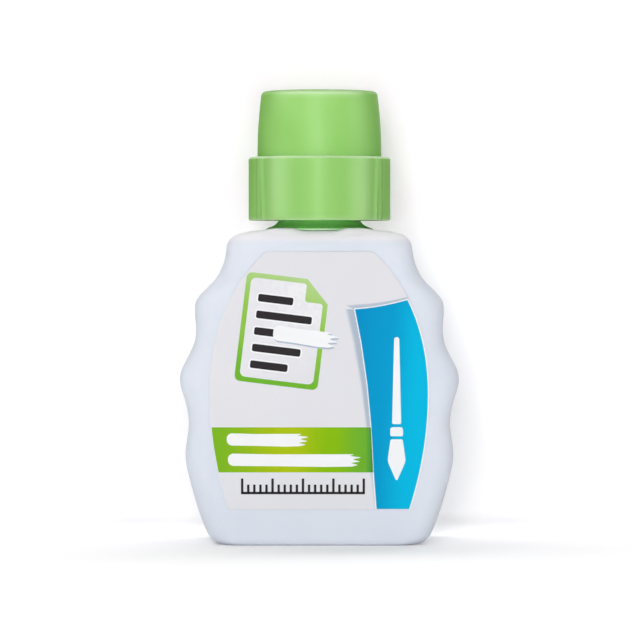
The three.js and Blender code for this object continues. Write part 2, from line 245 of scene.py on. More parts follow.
class Sketch:
    """A mesh in the making: points in millimetres, faces, the finish of each face, and masks."""

    def __init__(self) -> None:
        """Starts an empty sketch."""
        self.points: Ring = []
        self.faces: list[tuple[int, ...]] = []
        self.slots: list[int] = []
        self.masks: dict[Mask, dict[int, float]] = {}

    def place(self, points: Iterable[Spot]) -> list[int]:
        """Adds points and returns their numbers."""
        self.points.extend(points := list(points))
        return list(range(len(self.points) - len(points), len(self.points)))

    def face(self, corners: Iterable[int], slot: int = 0) -> None:
        """Adds one face with the finish in that slot."""
        self.faces.append(tuple(corners))
        self.slots.append(slot)

    def skin(self, rings: Sequence[Ring], loop: bool = False, slot: int = 0) -> None:
        """Joins each ring to the next.

        Args:
            rings: Rings of points, anticlockwise from above. A ring of one point is a pole.
            loop: Whether the last ring joins the first.
            slot: The finish of the faces.
        """
        numbers = [self.place(ring) for ring in rings]
        for low, high in zip(numbers, numbers[1:] + (numbers[:1] if loop else [])):
            count = max(len(low), len(high))
            for side, after in ((n, (n + 1) % count) for n in range(count)):
                corners = (low[side % len(low)], low[after % len(low)],
                           high[after % len(high)], high[side % len(high)])
                self.face(dict.fromkeys(corners), slot)

    def turn(self, outline: Sequence[Flat], count: int = 96, loop: bool = False) -> None:
        """Turns an outline of radius and height about the upright axis.

        Args:
            outline: Its points, rising on the outside. A radius of 0 makes a pole.
            count: Points round the axis.
            loop: Whether the outline closes on itself.
        """
        angles = [FULL_TURN * step / count for step in range(count)]
        self.skin([[(r * math.cos(a), r * math.sin(a), z) for a in (angles if r > 0 else [0.0])]
                   for r, z in outline], loop)

    def wind(self, start: float, reach: float, steps: int,
             section: Callable[[float], Iterable[Flat]]) -> None:
        """Winds a closed solid part of the way round the upright axis.

        Args:
            start: Angle in degrees where it starts.
            reach: How many degrees it covers.
            steps: How many steps it has.
            section: Gives its outline of radius and height at a share of the way.
        """
        sections: list[Ring] = []
        for share in (step / steps for step in range(steps + 1)):
            angle = math.radians(start + reach * share)
            sections.append([(r * math.cos(angle), r * math.sin(angle), z)
                             for r, z in section(share)])
        self.block(sections)

    def block(self, sections: Sequence[Ring], slot: int = 0) -> None:
        """Makes a closed solid through sections, with a flat face on the first and the last.

        Args:
            sections: Rings of as many points each.
            slot: The finish of the faces.
        """
        first, count = len(self.points), len(sections[0])
        self.skin(sections, slot=slot)
        self.face(range(first + count - 1, first - 1, -1), slot)
        self.face(range(len(self.points) - count, len(self.points)), slot)

    def make(self, name: str, finishes: Sequence[Finish], sharp: float) -> Piece:
        """Makes the mesh and its object.

        Args:
            name: Name of the piece.
            finishes: The finish of each slot.
            sharp: Angle in degrees past which an edge is left sharp.

        Returns:
            The object, at the origin.
        """
        mesh = bpy.data.meshes.new(name)
        mesh.from_pydata([(x * MM, y * MM, z * MM) for x, y, z in self.points], [], self.faces)
        for finish in finishes:
            mesh.materials.append(finish.material())
        mesh.polygons.foreach_set("material_index", self.slots)
        for mask, values in self.masks.items():
            kept = mesh.attributes.new(mask.value, "FLOAT", "POINT").data
            kept.foreach_set("value", [values.get(n, 0.0) for n in range(len(self.points))])
        finish_mesh(mesh, sharp)
        return show(name, mesh)


def settle(piece: Piece, body: Body, slot: str, *nodes: str) -> Piece:
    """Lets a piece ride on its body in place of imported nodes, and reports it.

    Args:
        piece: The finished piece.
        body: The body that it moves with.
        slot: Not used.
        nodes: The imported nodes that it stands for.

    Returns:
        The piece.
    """
    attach(piece, body.value)
    if nodes:
        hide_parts(*nodes)
    log.info("%s rides on %s with %d faces", piece.name, body.value, len(piece.data.polygons))
    return piece


class Assembly:
    """What every sub-assembly has: the body that it rides on, and the way it dresses a piece."""

    body: ClassVar[Body] = Body.CLOSURE

    def dress(self, sketch: Sketch, name: str, node: str, *finishes: Finish, slot: str = "",
              sharp: float = SHARP) -> Piece:
        """Gives a piece its finishes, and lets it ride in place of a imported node.

        Args:
            sketch: The piece's sketch.
            name: Name of the piece.
            node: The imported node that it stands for.
            finishes: The finish of each slot of the sketch.
            slot: The record's material slot, where it isn't named like the node.
            sharp: Angle in degrees past which an edge is left sharp.

        Returns:
            The piece.
        """
        return settle(sketch.make(name, finishes, sharp), self.body, slot or node, node)


class Board:
    """Adds nodes to one tree and links them."""

    def __init__(self, tree: bpy.types.NodeTree) -> None:
        """Keeps the tree that nodes are added to."""
        self.tree = tree

    @classmethod
    def shading(cls, owner: bpy.types.ID) -> Board:
        """Returns a board on the emptied node tree of a material or a world."""
        owner.use_nodes = True
        owner.node_tree.nodes.clear()
        return cls(owner.node_tree)

    def feed(self, socket: Socket, value: object) -> None:
        """Links a socket to another, or sets its value; None leaves it."""
        if isinstance(value, Socket):
            self.tree.links.new(value, socket)
        elif value is not None:
            socket.default_value = value

    def add(self, kind: str, *inputs: object, named: dict[str, object] | None = None,
            **settings: object) -> Node:
        """Adds a node.

        Args:
            kind: The node's type.
            inputs: Values or sockets for its inputs, in their order.
            named: Values or sockets for inputs by their name.
            settings: The node's own settings.

        Returns:
            The node.
        """
        node = self.tree.nodes.new(kind)
        for key, value in settings.items():
            setattr(node, key, value)
        for socket, value in zip(node.inputs, inputs):
            self.feed(socket, value)
        for name, value in (named or {}).items():
            self.feed(next(s for s in node.inputs if s.name == name and s.enabled), value)
        return node

    def result(self, kind: str, *inputs: object, **settings: object) -> Socket:
        """Adds a node and returns its first output."""
        return self.add(kind, *inputs, **settings).outputs[0]

    def compute(self, operation: str, *inputs: object) -> Socket:
        """Returns the result of a math node."""
        return self.result("ShaderNodeMath", *inputs, operation=operation)

    def total(self, *values: object) -> Socket:
        """Returns the sum of values."""
        return reduce(lambda one, other: self.compute("ADD", one, other), values)

    def product(self, *values: object) -> Socket:
        """Returns the product of values."""
        return reduce(lambda one, other: self.compute("MULTIPLY", one, other), values)

    def spread(self, value: object, low: object, high: object, first: object = 0.0,
               last: object = 1.0, kind: str = "SMOOTHSTEP") -> Socket:
        """Returns a value mapped from low and high to first and last."""
        return self.result("ShaderNodeMapRange", value, low, high, first, last,
                           interpolation_type=kind)

    def blend_values(self, share: object, low: object, high: object) -> Socket:
        """Returns a value that goes from low to high with share."""
        return self.spread(share, 0.0, 1.0, low, high, "LINEAR")

    def blend(self, share: object, low: Socket | Tint, high: Socket | Tint) -> Socket:
        """Adds a node that goes from one colour to another.

        Args:
            share: How far it goes, from 0 to 1.
            low: The colour at 0.
            high: The colour at 1.

        Returns:
            The colour.
        """
        node = self.add("ShaderNodeMix", data_type="RGBA")
        for name, value in (("Factor_Float", share), ("A_Color", low), ("B_Color", high)):
            value = linear(value) if isinstance(value, tuple) else value
            self.feed(next(s for s in node.inputs if s.identifier == name), value)
        return next(s for s in node.outputs if s.identifier == "Result_Color")

    def noise(self, place: Socket, fineness: object, detail: float = 2.0) -> Socket:
        """Returns noise at a place, from about 0.25 to 0.75."""
        return self.result("ShaderNodeTexNoise", place, None, fineness, detail)

    def full(self, noise: Socket, first: float = 0.0, last: float = 1.0) -> Socket:
        """Returns noise spread over the whole way from first to last."""
        return self.spread(noise, 0.3, 0.7, first, last)

    def coordinates(self) -> Socket:
        """Returns the place on the object, in metres."""
        return self.add("ShaderNodeTexCoord").outputs["Object"]

    def axes(self, place: Socket) -> bpy.types.bpy_prop_collection:
        """Returns the parts of a place or direction along X, Y and Z."""
        return self.add("ShaderNodeSeparateXYZ", place).outputs

    def mask(self, mask: Mask) -> Socket:
        """Returns a mask kept on the mesh."""
        return self.add("ShaderNodeAttribute", attribute_name=mask.value).outputs["Fac"]


@dataclass(frozen=True)
class Effect:
    """A shader node group that more than one finish uses."""

    name: str
    inputs: tuple[str, ...]
    outputs: tuple[str, ...]
    fill: Callable[[Board, bpy.types.bpy_prop_collection], Sequence[Socket]]

    def tree(self) -> bpy.types.NodeTree:
        """Returns the group's tree, which is built at its first use."""
        known = bpy.data.node_groups.get(self.name)
        if known:
            return known
        tree = bpy.data.node_groups.new(self.name, "ShaderNodeTree")
        for way, names in (("INPUT", self.inputs), ("OUTPUT", self.outputs)):
            for name in names:
                tree.interface.new_socket(name, in_out=way, socket_type="NodeSocketFloat")
        board = Board(tree)
        board.add("NodeGroupOutput", *self.fill(board, board.add("NodeGroupInput").outputs))
        return tree

    def use(self, board: Board, *sizes: float) -> bpy.types.bpy_prop_collection:
        """Places the group in a finish, with a size for each input, and returns its outputs."""
        scales = [scale(size) for size in sizes]
        return board.add("ShaderNodeGroup", *scales, node_tree=self.tree()).outputs


def fill_grain(board: Board, given: bpy.types.bpy_prop_collection) -> Sequence[Socket]:
    """Fills the group of the moulded plastic's grain.

    Args:
        board: The group's board.
        given: The group's inputs.

    Returns:
        Fine speckle, broad unevenness and soft clouds that are broader still.
    """
    place, broad = board.coordinates(), given["Broad Scale"]
    clouds = board.noise(place, board.product(broad, 0.31), 2.0)
    return (board.noise(place, given["Fine Scale"], 3.0), board.noise(place, broad, 1.0),
            board.full(clouds))


def fill_wear(board: Board, given: bpy.types.bpy_prop_collection) -> Sequence[Socket]:
    """Fills the group of the wear on edges and in nooks; its worn edges are partly a painted
    highlight along convex edges.

    Args:
        board: The group's board.
        given: The group's inputs.

    Returns:
        The broken-up masks of rubbed edges and of nooks.
    """
    speckle = board.noise(board.coordinates(), given["Breakup Scale"], 4.0)
    speckle = board.spread(speckle, 0.36, 0.62, 0.5, 1.0)
    return [board.product(board.mask(mask), speckle) for mask in (Mask.RUB, Mask.NOOK)]


def fill_dust(board: Board, given: bpy.types.bpy_prop_collection) -> Sequence[Socket]:
    """Fills the group of the fine dust that settles on faces that look up.

    Args:
        board: The group's board.
        given: The group's inputs.

    Returns:
        How much dust there is.
    """
    up = board.axes(board.add("ShaderNodeNewGeometry").outputs["Normal"])["Z"]
    specks = board.spread(board.noise(board.coordinates(), given["Speck Scale"], 5.0), 0.5, 0.68)
    return [board.product(board.spread(up, 0.35, 0.95), specks)]


GRAIN = Effect("plastic_grain", ("Fine Scale", "Broad Scale"), ("Fine", "Broad", "Cloud"),
               fill_grain)
WEAR = Effect("edge_wear", ("Breakup Scale",), ("Rubbed", "Nook"), fill_wear)
DUST = Effect("settled_dust", ("Speck Scale",), ("Dust",), fill_dust)


@dataclass(frozen=True)
class Finish:
    """What every finish has: a name, and how rough and how glossy the surface is."""

    name: str
    roughness: float = 0.4
    specular: float = 0.5

    def material(self) -> bpy.types.Material:
        """Returns the finish's material, which is built at its first use."""
        known = bpy.data.materials.get(self.name)
        if known:
            return known
        made = bpy.data.materials.new(self.name)
        board = Board.shading(made)
        shader = board.add("ShaderNodeBsdfPrincipled", named={"Specular IOR Level": self.specular})
        board.add("ShaderNodeOutputMaterial", shader.outputs[0])
        colour, roughness, height = self.dress(board, shader)
        relief = {"Height": board.product(height, MM)}
        normal = board.result("ShaderNodeBump", 1.0, 1.0, named=relief)
        for name, value in (("Base Color", colour), ("Roughness", roughness), ("Normal", normal)):
            board.feed(shader.inputs[name], value)
        return made

    def dress(self, board: Board, shader: Node) -> Coat:
        """Returns the colour, the roughness and the height in millimetres over the surface."""
        raise NotImplementedError


@dataclass(frozen=True)
class PlasticFinish(Finish):
    """Moulded plastic: cloudy colour, fine grain, uneven gloss, worn edges, grime in nooks, a
    little dust, and painted highlights and painted shade.
    """

    colour: Tint = (226, 229, 234)
    deep: Tint = (215, 220, 228)
    rubbed: Tint = (238, 240, 243)
    grime_and_shade: Tint = (150, 150, 146)
    dust: Tint = (222, 221, 216)
    grain: float = 0.35
    grain_depth: float = 0.002
    waves: float = 6.0
    wave_depth: float = 0.01
    breakup: float = 0.8
    specks: float = 0.5
    gloss_spread: float = 0.12
    rubbed_roughness: float = 0.12
    dust_roughness: float = 0.2
    wear: float = 0.5
    grime_share: float = 0.25
    dust_share: float = 0.12
    painted_highlight_gain: float = 0.0
    painted_shade_gain: float = 0.0
    scatter: float = 0.0
    scatter_reach: float = 1.0
    scatter_tones: Spot = (1.0, 0.9, 0.8)
    parting: float = 0.0
    parting_width: float = 0.22

    def dress(self, board: Board, shader: Node) -> Coat:
        """Works out the plastic's surface.

        Args:
            board: The material's board.
            shader: The material's shader.

        Returns:
            The colour, the roughness and the height in millimetres.
        """
        grain = GRAIN.use(board, self.grain, self.waves)
        wear, dust = WEAR.use(board, self.breakup), DUST.use(board, self.specks)
        colour = board.blend(grain["Cloud"], self.deep, self.colour)
        # The highlight mask paints light and the shade mask paints shade where they fall; worn
        # edges are wear and partly a painted edge highlight; nooks get grime and up-facing faces
        # dust.
        for source, gain, tint in ((Mask.PAINTED_HIGHLIGHT, self.painted_highlight_gain, self.rubbed),
                                   (Mask.PAINTED_SHADE, self.painted_shade_gain, self.grime_and_shade),
                                   (wear["Rubbed"], self.wear, self.rubbed),
                                   (wear["Nook"], self.grime_share, self.grime_and_shade),
                                   (dust["Dust"], self.dust_share, self.dust)):
            if gain:
                share = board.mask(source) if isinstance(source, Mask) else source
                colour = board.blend(board.product(share, gain), colour, tint)
        uneven = board.product(board.compute("SUBTRACT", grain["Broad"], 0.5),
                               self.gloss_spread * 2)
        roughness = board.total(uneven, self.roughness,
                                board.product(wear["Rubbed"], self.rubbed_roughness),
                                board.product(dust["Dust"], self.dust_roughness))
        if self.scatter:
            shader.inputs["Subsurface Weight"].default_value = self.scatter
            shader.inputs["Subsurface Radius"].default_value = self.scatter_tones
            shader.inputs["Subsurface Scale"].default_value = self.scatter_reach * MM
        height = board.total(board.product(grain["Fine"], self.grain_depth),
                             board.product(grain["Broad"], self.wave_depth))
        if self.parting:
            away = board.compute("ABSOLUTE", board.axes(board.coordinates())["Y"])
            line = board.spread(away, 0.0, self.parting_width * MM, self.parting, 0.0)
            height = board.total(height, line)
        return colour, roughness, height


@dataclass(frozen=True)
class InkFinish(Finish):
    """Printed ink: colours that change along one direction, with a fine screen of dots."""

    stops: tuple[tuple[float, Tint], ...] = ()
    direction: Flat = (1.0, 0.0)
    faded: Tint = (226, 226, 231)
    roughness: float = 0.5
    specular: float = 0.04
    dot: float = 0.16
    dot_paleness: float = 0.0015
    dot_height: float = 0.0012

    @classmethod
    def plain(cls, name: str, tint: Tint) -> InkFinish:
        """Returns an ink of one colour."""
        return cls(name, stops=((0.0, tint), (1.0, tint)))

    def dress(self, board: Board, shader: Node) -> Coat:
        """Works out the ink's surface.

        Args:
            board: The material's board.
            shader: The material's shader.

        Returns:
            The colour, the roughness and the height in millimetres.
        """
        place = board.coordinates()
        axes = board.axes(place)
        way = board.total(board.product(axes["X"], self.direction[0] / MM),
                          board.product(axes["Z"], self.direction[1] / MM))
        first, last = self.stops[0][0], self.stops[-1][0]
        ramp = board.add("ShaderNodeValToRGB", board.spread(way, first, last, kind="LINEAR"))
        ramp.color_ramp.interpolation = "EASE"
        marks = ramp.color_ramp.elements
        for number, (value, tint) in enumerate(self.stops):
            at = (value - first) / (last - first)
            mark = marks[number] if number < 2 else marks.new(at)
            mark.position, mark.color = at, linear(tint)
        screen = board.noise(place, scale(self.dot), 2.0)
        colour = board.blend(board.full(screen, 0.0, self.dot_paleness), ramp.outputs[0], WHITE)
        return (board.blend(board.mask(Mask.FADE), colour, self.faded),
                board.full(screen, self.roughness, self.roughness + 0.1),
                board.product(screen, self.dot_height))


@dataclass(frozen=True)
class FoamFinish(Finish):
    """Closed-cell foam: pale, matt and full of fine pores."""

    colour: Tint = (242, 240, 233)
    pore: Tint = (205, 202, 194)
    roughness: float = 0.85
    pore_roughness: float = 0.95
    pore_size: float = 0.28
    pore_depth: float = 0.03

    def dress(self, board: Board, shader: Node) -> Coat:
        """Works out the foam's surface.

        Args:
            board: The material's board.
            shader: The material's shader.

        Returns:
            The colour, the roughness and the height in millimetres.
        """
        cells = board.result("ShaderNodeTexVoronoi", board.coordinates(), None,
                             scale(self.pore_size))
        solid = board.spread(cells, 0.05, 0.5)
        return (board.blend(solid, self.pore, self.colour),
                board.spread(solid, 0.0, 1.0, self.pore_roughness, self.roughness),
                board.product(solid, self.pore_depth))


@dataclass(frozen=True)
class BristleFinish(Finish):
    """Nylon bristles, clear-grey at the root and coated with white fluid towards the tip."""

    nylon: Tint = (205, 203, 196)
    pale_nylon: Tint = (224, 222, 214)
    fluid: Tint = (246, 247, 247)
    roughness: float = 0.38
    fluid_roughness: float = 0.22
    fluid_top: float = 21.0
    raggedness: float = 5.0
    streak: float = 0.2
    streak_depth: float = 0.012

    def dress(self, board: Board, shader: Node) -> Coat:
        """Works out the surface of the bristles, with the ragged upper edge of their coating.

        Args:
            board: The material's board.
            shader: The material's shader.

        Returns:
            The colour, the roughness and the height in millimetres.
        """
        place = board.coordinates()
        ragged = board.product(board.noise(place, scale(0.5), 3.0), self.raggedness * MM)
        level = board.total(board.axes(place)["Z"], ragged)
        coated = board.spread(level, (self.fluid_top + 1) * MM, (self.fluid_top - 1) * MM)
        streak = board.noise(place, scale(self.streak), 2.0)
        nylon = board.blend(streak, self.nylon, self.pale_nylon)
        return (board.blend(coated, nylon, self.fluid),
                board.spread(coated, 0.0, 1.0, self.roughness, self.fluid_roughness),
                board.product(streak, self.streak_depth))


@dataclass(frozen=True)
class BrassFinish(Finish):
    """Drawn brass wire, with fine lines along it and dull spots."""

    bright: Tint = (214, 178, 98)
    dull: Tint = (150, 112, 58)
    roughness: float = 0.3
    line: float = 0.04
    line_depth: float = 0.004
    spot: float = 0.3

    def dress(self, board: Board, shader: Node) -> Coat:
        """Works out the wire's surface.

        Args:
            board: The material's board.
            shader: The material's shader.

        Returns:
            The colour, the roughness and the height in millimetres.
        """
        shader.inputs["Metallic"].default_value = 1.0
        place = board.coordinates()
        stretched = board.result("ShaderNodeMapping", place, None, None, (0.08, 1.0, 1.0))
        lines = board.noise(stretched, scale(self.line), 3.0)
        spots = board.spread(board.noise(place, scale(self.spot), 3.0), 0.5, 0.65)
        return (board.blend(spots, self.bright, self.dull),
                board.full(lines, self.roughness, self.roughness + 0.25),
                board.product(lines, self.line_depth))


# Its pinkish edge tint and highlight gain of 0.9 paint light onto the shoulder's crown under the
# cap, against the collar's shade and the cap's green reflected light.
WHITE_PLASTIC = PlasticFinish(
    "satin_white_plastic", roughness=0.44, specular=0.11, colour=(227, 232, 242),
    deep=(222, 228, 239), rubbed=(250, 245, 252), grain=0.4, grain_depth=0.0015, waves=7.0,
    wave_depth=0.012, wear=0.35, grime_share=0.08, painted_highlight_gain=0.9, scatter=0.35,
    scatter_reach=2.0, parting=0.05)
# Its high wear lightens the film's rounded rim: partly edge wear, partly a painted edge highlight.
LABEL_FILM = PlasticFinish(
    "label_film", roughness=0.5, specular=0.1, colour=(229, 229, 233), deep=(226, 226, 231),
    rubbed=(244, 244, 246), grain=0.25, grain_depth=0.001, waves=9.0, wave_depth=0.004,
    gloss_spread=0.06, wear=0.8)
# Its highlight and shade gains scale the painted highlights and painted shade that the cap shell
# marks; its dark grime tint is also the shade colour.
CAP_GREEN = PlasticFinish(
    "light_green_plastic", roughness=0.46, colour=(135, 192, 92), deep=(127, 187, 84),
    rubbed=(222, 245, 204), grime_and_shade=(70, 110, 56), grain=0.3, waves=5.0, wave_depth=0.012,
    wear=0.25, grime_share=0.05, painted_highlight_gain=0.2, painted_shade_gain=0.5)
SKIRT_GREEN = PlasticFinish(
    "deep_green_plastic", roughness=0.45, colour=(158, 250, 132), deep=(146, 244, 120),
    rubbed=(206, 224, 204), grime_and_shade=(60, 130, 50), grain=0.3, grain_depth=0.0015, waves=4.0,
    wave_depth=0.008, wear=0.8, grime_share=0.1)
NATURAL_PLASTIC = PlasticFinish(
    "natural_soft_plastic", roughness=0.3, colour=(232, 235, 236), deep=(222, 226, 229),
    rubbed=(244, 245, 246), grain=0.3, grain_depth=0.001, waves=3.0, wave_depth=0.006, wear=0.3,
    scatter=0.3, scatter_reach=0.8)
FOAM = FoamFinish("liner_foam")
BRISTLES = BristleFinish("coated_bristles")
BRASS = BrassFinish("brass_wire")
GREEN_INK = InkFinish("green_ink", stops=(
    (-17.5, (124, 182, 34)), (-4.8, (174, 195, 20)), (2.0, (136, 188, 12)), (7.5, (110, 177, 48)),
    (8.1, (90, 164, 56)), (8.7, (70, 148, 60))))
BACK_GREEN_INK = InkFinish("back_green_ink", stops=(
    (-17.5, (124, 182, 34)), (0.0, (172, 195, 22)), (17.5, (116, 180, 40))))
BLUE_INK = InkFinish("blue_ink", direction=(1.0, -0.1), stops=(
    (1.0, (0, 142, 198)), (7.7, (0, 155, 206)), (13.5, (0, 186, 227))))
LEAF_INK = InkFinish("leaf_green_ink", direction=(0.35, 1.0), stops=(
    (24.0, (112, 180, 50)), (34.0, (146, 198, 74)), (46.0, (188, 218, 150))))
DARK_INK = InkFinish.plain("charcoal_ink", (46, 42, 45))
WHITE_INK = InkFinish.plain("white_ink", (246, 247, 249))
SHADE_INK = InkFinish.plain("shade_ink", (176, 189, 203))
GREY_INK = InkFinish.plain("rule_grey_ink", (168, 172, 178))


@dataclass
class Section:
    """A level section of the bottle: a rounded rectangle at a height."""

    height: float
    half_width: float
    half_depth: float
    radius: float

    def ring(self) -> Ring:
        """Returns its points, anticlockwise from above, from the middle of the right side."""
        width, depth = self.half_width, self.half_depth
        radius = min(self.radius, width - 0.1, depth - 0.1)
        inner, side = width - radius, depth - radius
        outline = run((width, 0), (width, side), 5)
        for turn, (centre, end, steps) in enumerate((
                ((inner, side), (-inner, depth), 22), ((-inner, side), (-width, -side), 10),
                ((-inner, -side), (inner, -depth), 22), ((inner, -side), (width, 0), 5))):
            corner = arc(centre, radius, radius, 90 * turn, 90 * turn + 90, 12)
            outline += corner[:-1] + run(corner[-1], end, steps)
        return [(x, y, self.height) for x, y in outline]


@dataclass
class BottleBody(Assembly):
    """The blow-moulded bottle: one skin up from its foot, over the neck's rim and down inside."""

    body = Body.BOTTLE
    foot_half_width: float = 15.5
    foot_radius: float = 3.4
    foot_front_radius: float = 1.0
    ring_width: float = 2.2
    recess: float = 0.5
    levels: tuple[Spot, ...] = (
        (2.364, 18.8, 0.37), (6.26, 20.2, 0.31), (10.24, 21.33, 0.26), (14.8, 22.18, 0.0),
        (20.1, 21.61, 0.0), (24.83, 22.55, 0.33), (27.2, 23.09, 0.03), (29.47, 22.55, -0.42),
        (31.46, 21.5, -0.5), (33.78, 20.58, -0.2), (35.6, 20.38, 0.0), (38.6, 20.58, 0.0),
        (39.75, 20.51, -0.15), (40.75, 20.12, -0.6), (42.07, 18.97, -0.95), (43.4, 17.6, -0.9),
        (44.73, 16.6, -0.5), (47.38, 15.59, -0.2), (48.72, 15.35, -0.22))
    depth: float = 21.0
    edge_radius: float = 3.6
    wall: float = 1.3
    inside_radius: float = 1.5
    shoulder: Spot = (2.67, 1.95, 1.3)
    shoulder_bend: float = 76.0
    deck: Spot = (0.535, 3.2, 0.5)
    crest_rise: float = 0.42
    crest_inner: Flat = (2.6, 4.6)
    crest_outer: Flat = (6.5, 10.5)
    seat_radius: float = 9.12
    neck_radius: float = 4.9
    bore_radius: float = 3.75
    rim_height: float = 61.225
    neck_fillet: float = 0.5
    neck_levels: tuple[float, ...] = (54.5, 56.5, 58.5)
    ramp_low: float = 56.375
    ramp_climb: float = 2.5
    ramp_depth: float = 0.7
    ramp_root: float = 1.3
    ramp_crest: float = 0.7
    ramp_span: float = 150.0

    def drawn_in(self, height: float, radius: float) -> float:
        """Returns how far a round corner is drawn in at a height above its face."""
        return radius * (1 - math.sqrt(1 - (1 - height / radius) ** 2)) if height < radius else 0.0

    def half_width(self, height: float) -> float:
        """Finds how wide the bottle is, from levels that give a half width and its slope.

        Args:
            height: A height up to the shoulder.

        Returns:
            The half width.
        """
        if height < self.levels[0][0]:
            return self.foot_half_width + self.foot_radius - self.drawn_in(height, self.foot_radius)
        low, high = span(self.levels, height)
        rise = high[0] - low[0]
        share = (height - low[0]) / rise
        square, cube = share ** 2, share ** 3
        return (low[1] + (high[1] - low[1]) * (3 * square - 2 * cube)
                + rise * ((cube - 2 * square + share) * low[2] + (cube - square) * high[2]))

    def sections(self, inset: float, floor: float, side_radius: float, front_radius: float,
                 pitch: float) -> list[Section]:
        """Finds the level sections from a floor to the deck.

        Args:
            inset: How far the sections lie inside the outer surface.
            floor: Height of the lowest section.
            side_radius: Extra round where the floor meets the sides.
            front_radius: Round where the floor meets the front and the back.
            pitch: About how far apart the sections are.

        Returns:
            The sections, from the lowest up.
        """
        end = self.levels[0][0] if floor == 0 else floor + self.inside_radius
        top, radius = self.levels[-1][0], self.edge_radius - inset
        count = round((top - end) / pitch)
        heights = [floor + (end - floor) * (1 - math.cos(angle)) for angle in quarter(9)]
        heights += [between(end, top, (step + 1) / count) for step in range(count)]
        found = [Section(z, self.half_width(z) - inset - self.drawn_in(z - floor, side_radius),
                         self.depth / 2 - inset - self.drawn_in(z - floor, front_radius), radius)
                 for z in heights]
        start, bend = found[-1], math.radians(self.shoulder_bend)
        rise, side, front = self.shoulder
        deck_rise, deck_side, deck_front = self.deck
        rise -= inset
        whole, drawn = rise + deck_rise, front + deck_front
        upper = []
        for angle in (bend * step / 12 for step in range(1, 13)):
            share = (1 - math.cos(angle)) / (1 - math.cos(bend))
            upper.append((rise * math.sin(angle) / math.sin(bend), start.half_width - side * share))
        narrow = upper[-1][1]
        upper += [(rise + deck_rise * math.sin(angle), narrow - deck_side * number / 8)
                  for number, angle in enumerate(quarter(8)) if number]
        for up, half_width in upper:
            rounding = 1 - math.sqrt(max(0.0, 1 - (up / whole) ** 2))
            found.append(Section(start.height + up, half_width,
                                 start.half_depth - drawn * rounding, radius))
        return found

    def seat_ring(self, deck: Ring) -> Ring:
        """Returns a ring just inside the deck's edge, where the cap's skirt sits."""
        shares = [min(0.985, self.seat_radius / math.hypot(x, y)) for x, y, _ in deck]
        return [(x * share, y * share, z) for (x, y, z), share in zip(deck, shares)]

    def crest_at(self, x: float, y: float, z: float) -> float:
        """Finds how far the shoulder rises in front and behind, on both sides of the cap's skirt.

        Args:
            x: Place across.
            y: Place in depth.
            z: Height.

        Returns:
            The rise, which is 0 nearly everywhere.
        """
        low = self.levels[-1][0] + self.shoulder[0]
        beside = smooth(*self.crest_inner, abs(x)) * smooth(*reversed(self.crest_outer), abs(x))
        outside = smooth(self.seat_radius, self.seat_radius + 0.4, math.hypot(x, y))
        up = smooth(low - 0.1, low + self.deck[0], z) * (z < low + 1)
        return self.crest_rise * beside * outside * up

    def neck_rings(self, deck: Section, ceiling: float) -> list[Ring]:
        """Makes the rings of the neck, up its outside, over the rim and down its bore.

        Args:
            deck: The section that the neck rises from.
            ceiling: Height of the inside's top.

        Returns:
            The rings.
        """
        bearings = [math.atan2(y, x) for x, y, _ in deck.ring()]
        radius, bore, fillet = self.neck_radius, self.bore_radius, self.neck_fillet
        outline = [(radius + 1.4, deck.height)]
        outline += arc((radius + fillet, deck.height + fillet), fillet, fillet, 270, 180, 6)
        outline += [(radius, z) for z in self.neck_levels]
        outline += rounded([(radius, 60, 0), (radius, self.rim_height, 0.3),
                            (bore, self.rim_height, 0.2), (bore, 58, 0)])
        outline += [(bore, 54.0), (bore, ceiling + 0.3), (bore + 0.3, ceiling)]
        return [[(r * math.cos(b), r * math.sin(b), z) for b in bearings] for r, z in outline]

    def ramp_section(self, share: float) -> list[Flat]:
        """Finds the section of a ramp of the thread, whose ends run out softly.

        Args:
            share: How far along the ramp it is, from 0 to 1.

        Returns:
            Its outline of radius and height.
        """
        full = 0.15 + 0.85 * smooth(0.0, 0.06, share) * smooth(0.0, 0.06, 1 - share)
        root, crest = self.ramp_root / 2 * full, self.ramp_crest / 2 * full
        inner, outer = self.neck_radius - 0.3, self.neck_radius + self.ramp_depth * full
        corners = [(inner, -root, 0), (inner, root, 0), (outer, crest, 0.15), (outer, -crest, 0.15)]
        middle = self.ramp_low + self.ramp_climb * share
        return [(r, middle + z) for r, z in rounded(corners, closed=True, steps=3)]

    def build(self) -> Piece:
        """Makes the bottle's mesh and dresses it."""
        sketch = Sketch()
        outside = self.sections(0.0, 0.0, 0.0, self.foot_front_radius, 0.5)
        round_in = self.inside_radius
        inside = self.sections(self.wall, self.wall + self.recess, round_in, round_in, 0.8)
        foot, ring, recess = outside[0], self.ring_width, self.recess
        underside = [Section(z, foot.half_width - ring - inset, foot.half_depth - ring - inset,
                             self.edge_radius - ring)
                     for z, inset in ((recess, 6), (recess, 0.75), (recess - 0.05, 0.6),
                                      (0.08, 0.1), (0.0, 0))]
        rings = [[(0.0, 0.0, recess)], *(section.ring() for section in underside + outside)]
        rings += [self.seat_ring(rings[-1]), *self.neck_rings(outside[-1], inside[-1].height)]
        rings += [*(section.ring() for section in reversed(inside)), [(0.0, 0.0, inside[0].height)]]
        sketch.skin(rings)
        sketch.points = [(x, y, z + self.crest_at(x, y, z)) for x, y, z in sketch.points]
        # Painted highlight: lightens the shoulder's crown around the neck, where the cap's collar
        # throws its shade.
        crown = self.levels[-1][0] + 0.9
        sketch.masks[Mask.PAINTED_HIGHLIGHT] = {
            number: smooth(crown, crown + 1.3, z) for number, (x, y, z) in enumerate(sketch.points)
            if z > crown and math.hypot(x, y) > self.neck_radius + 1.2}
        for start in (0.0, 180.0):
            sketch.wind(start, self.ramp_span, 44, self.ramp_section)
        return self.dress(sketch, "moulded_bottle", "bottle_body", WHITE_PLASTIC)


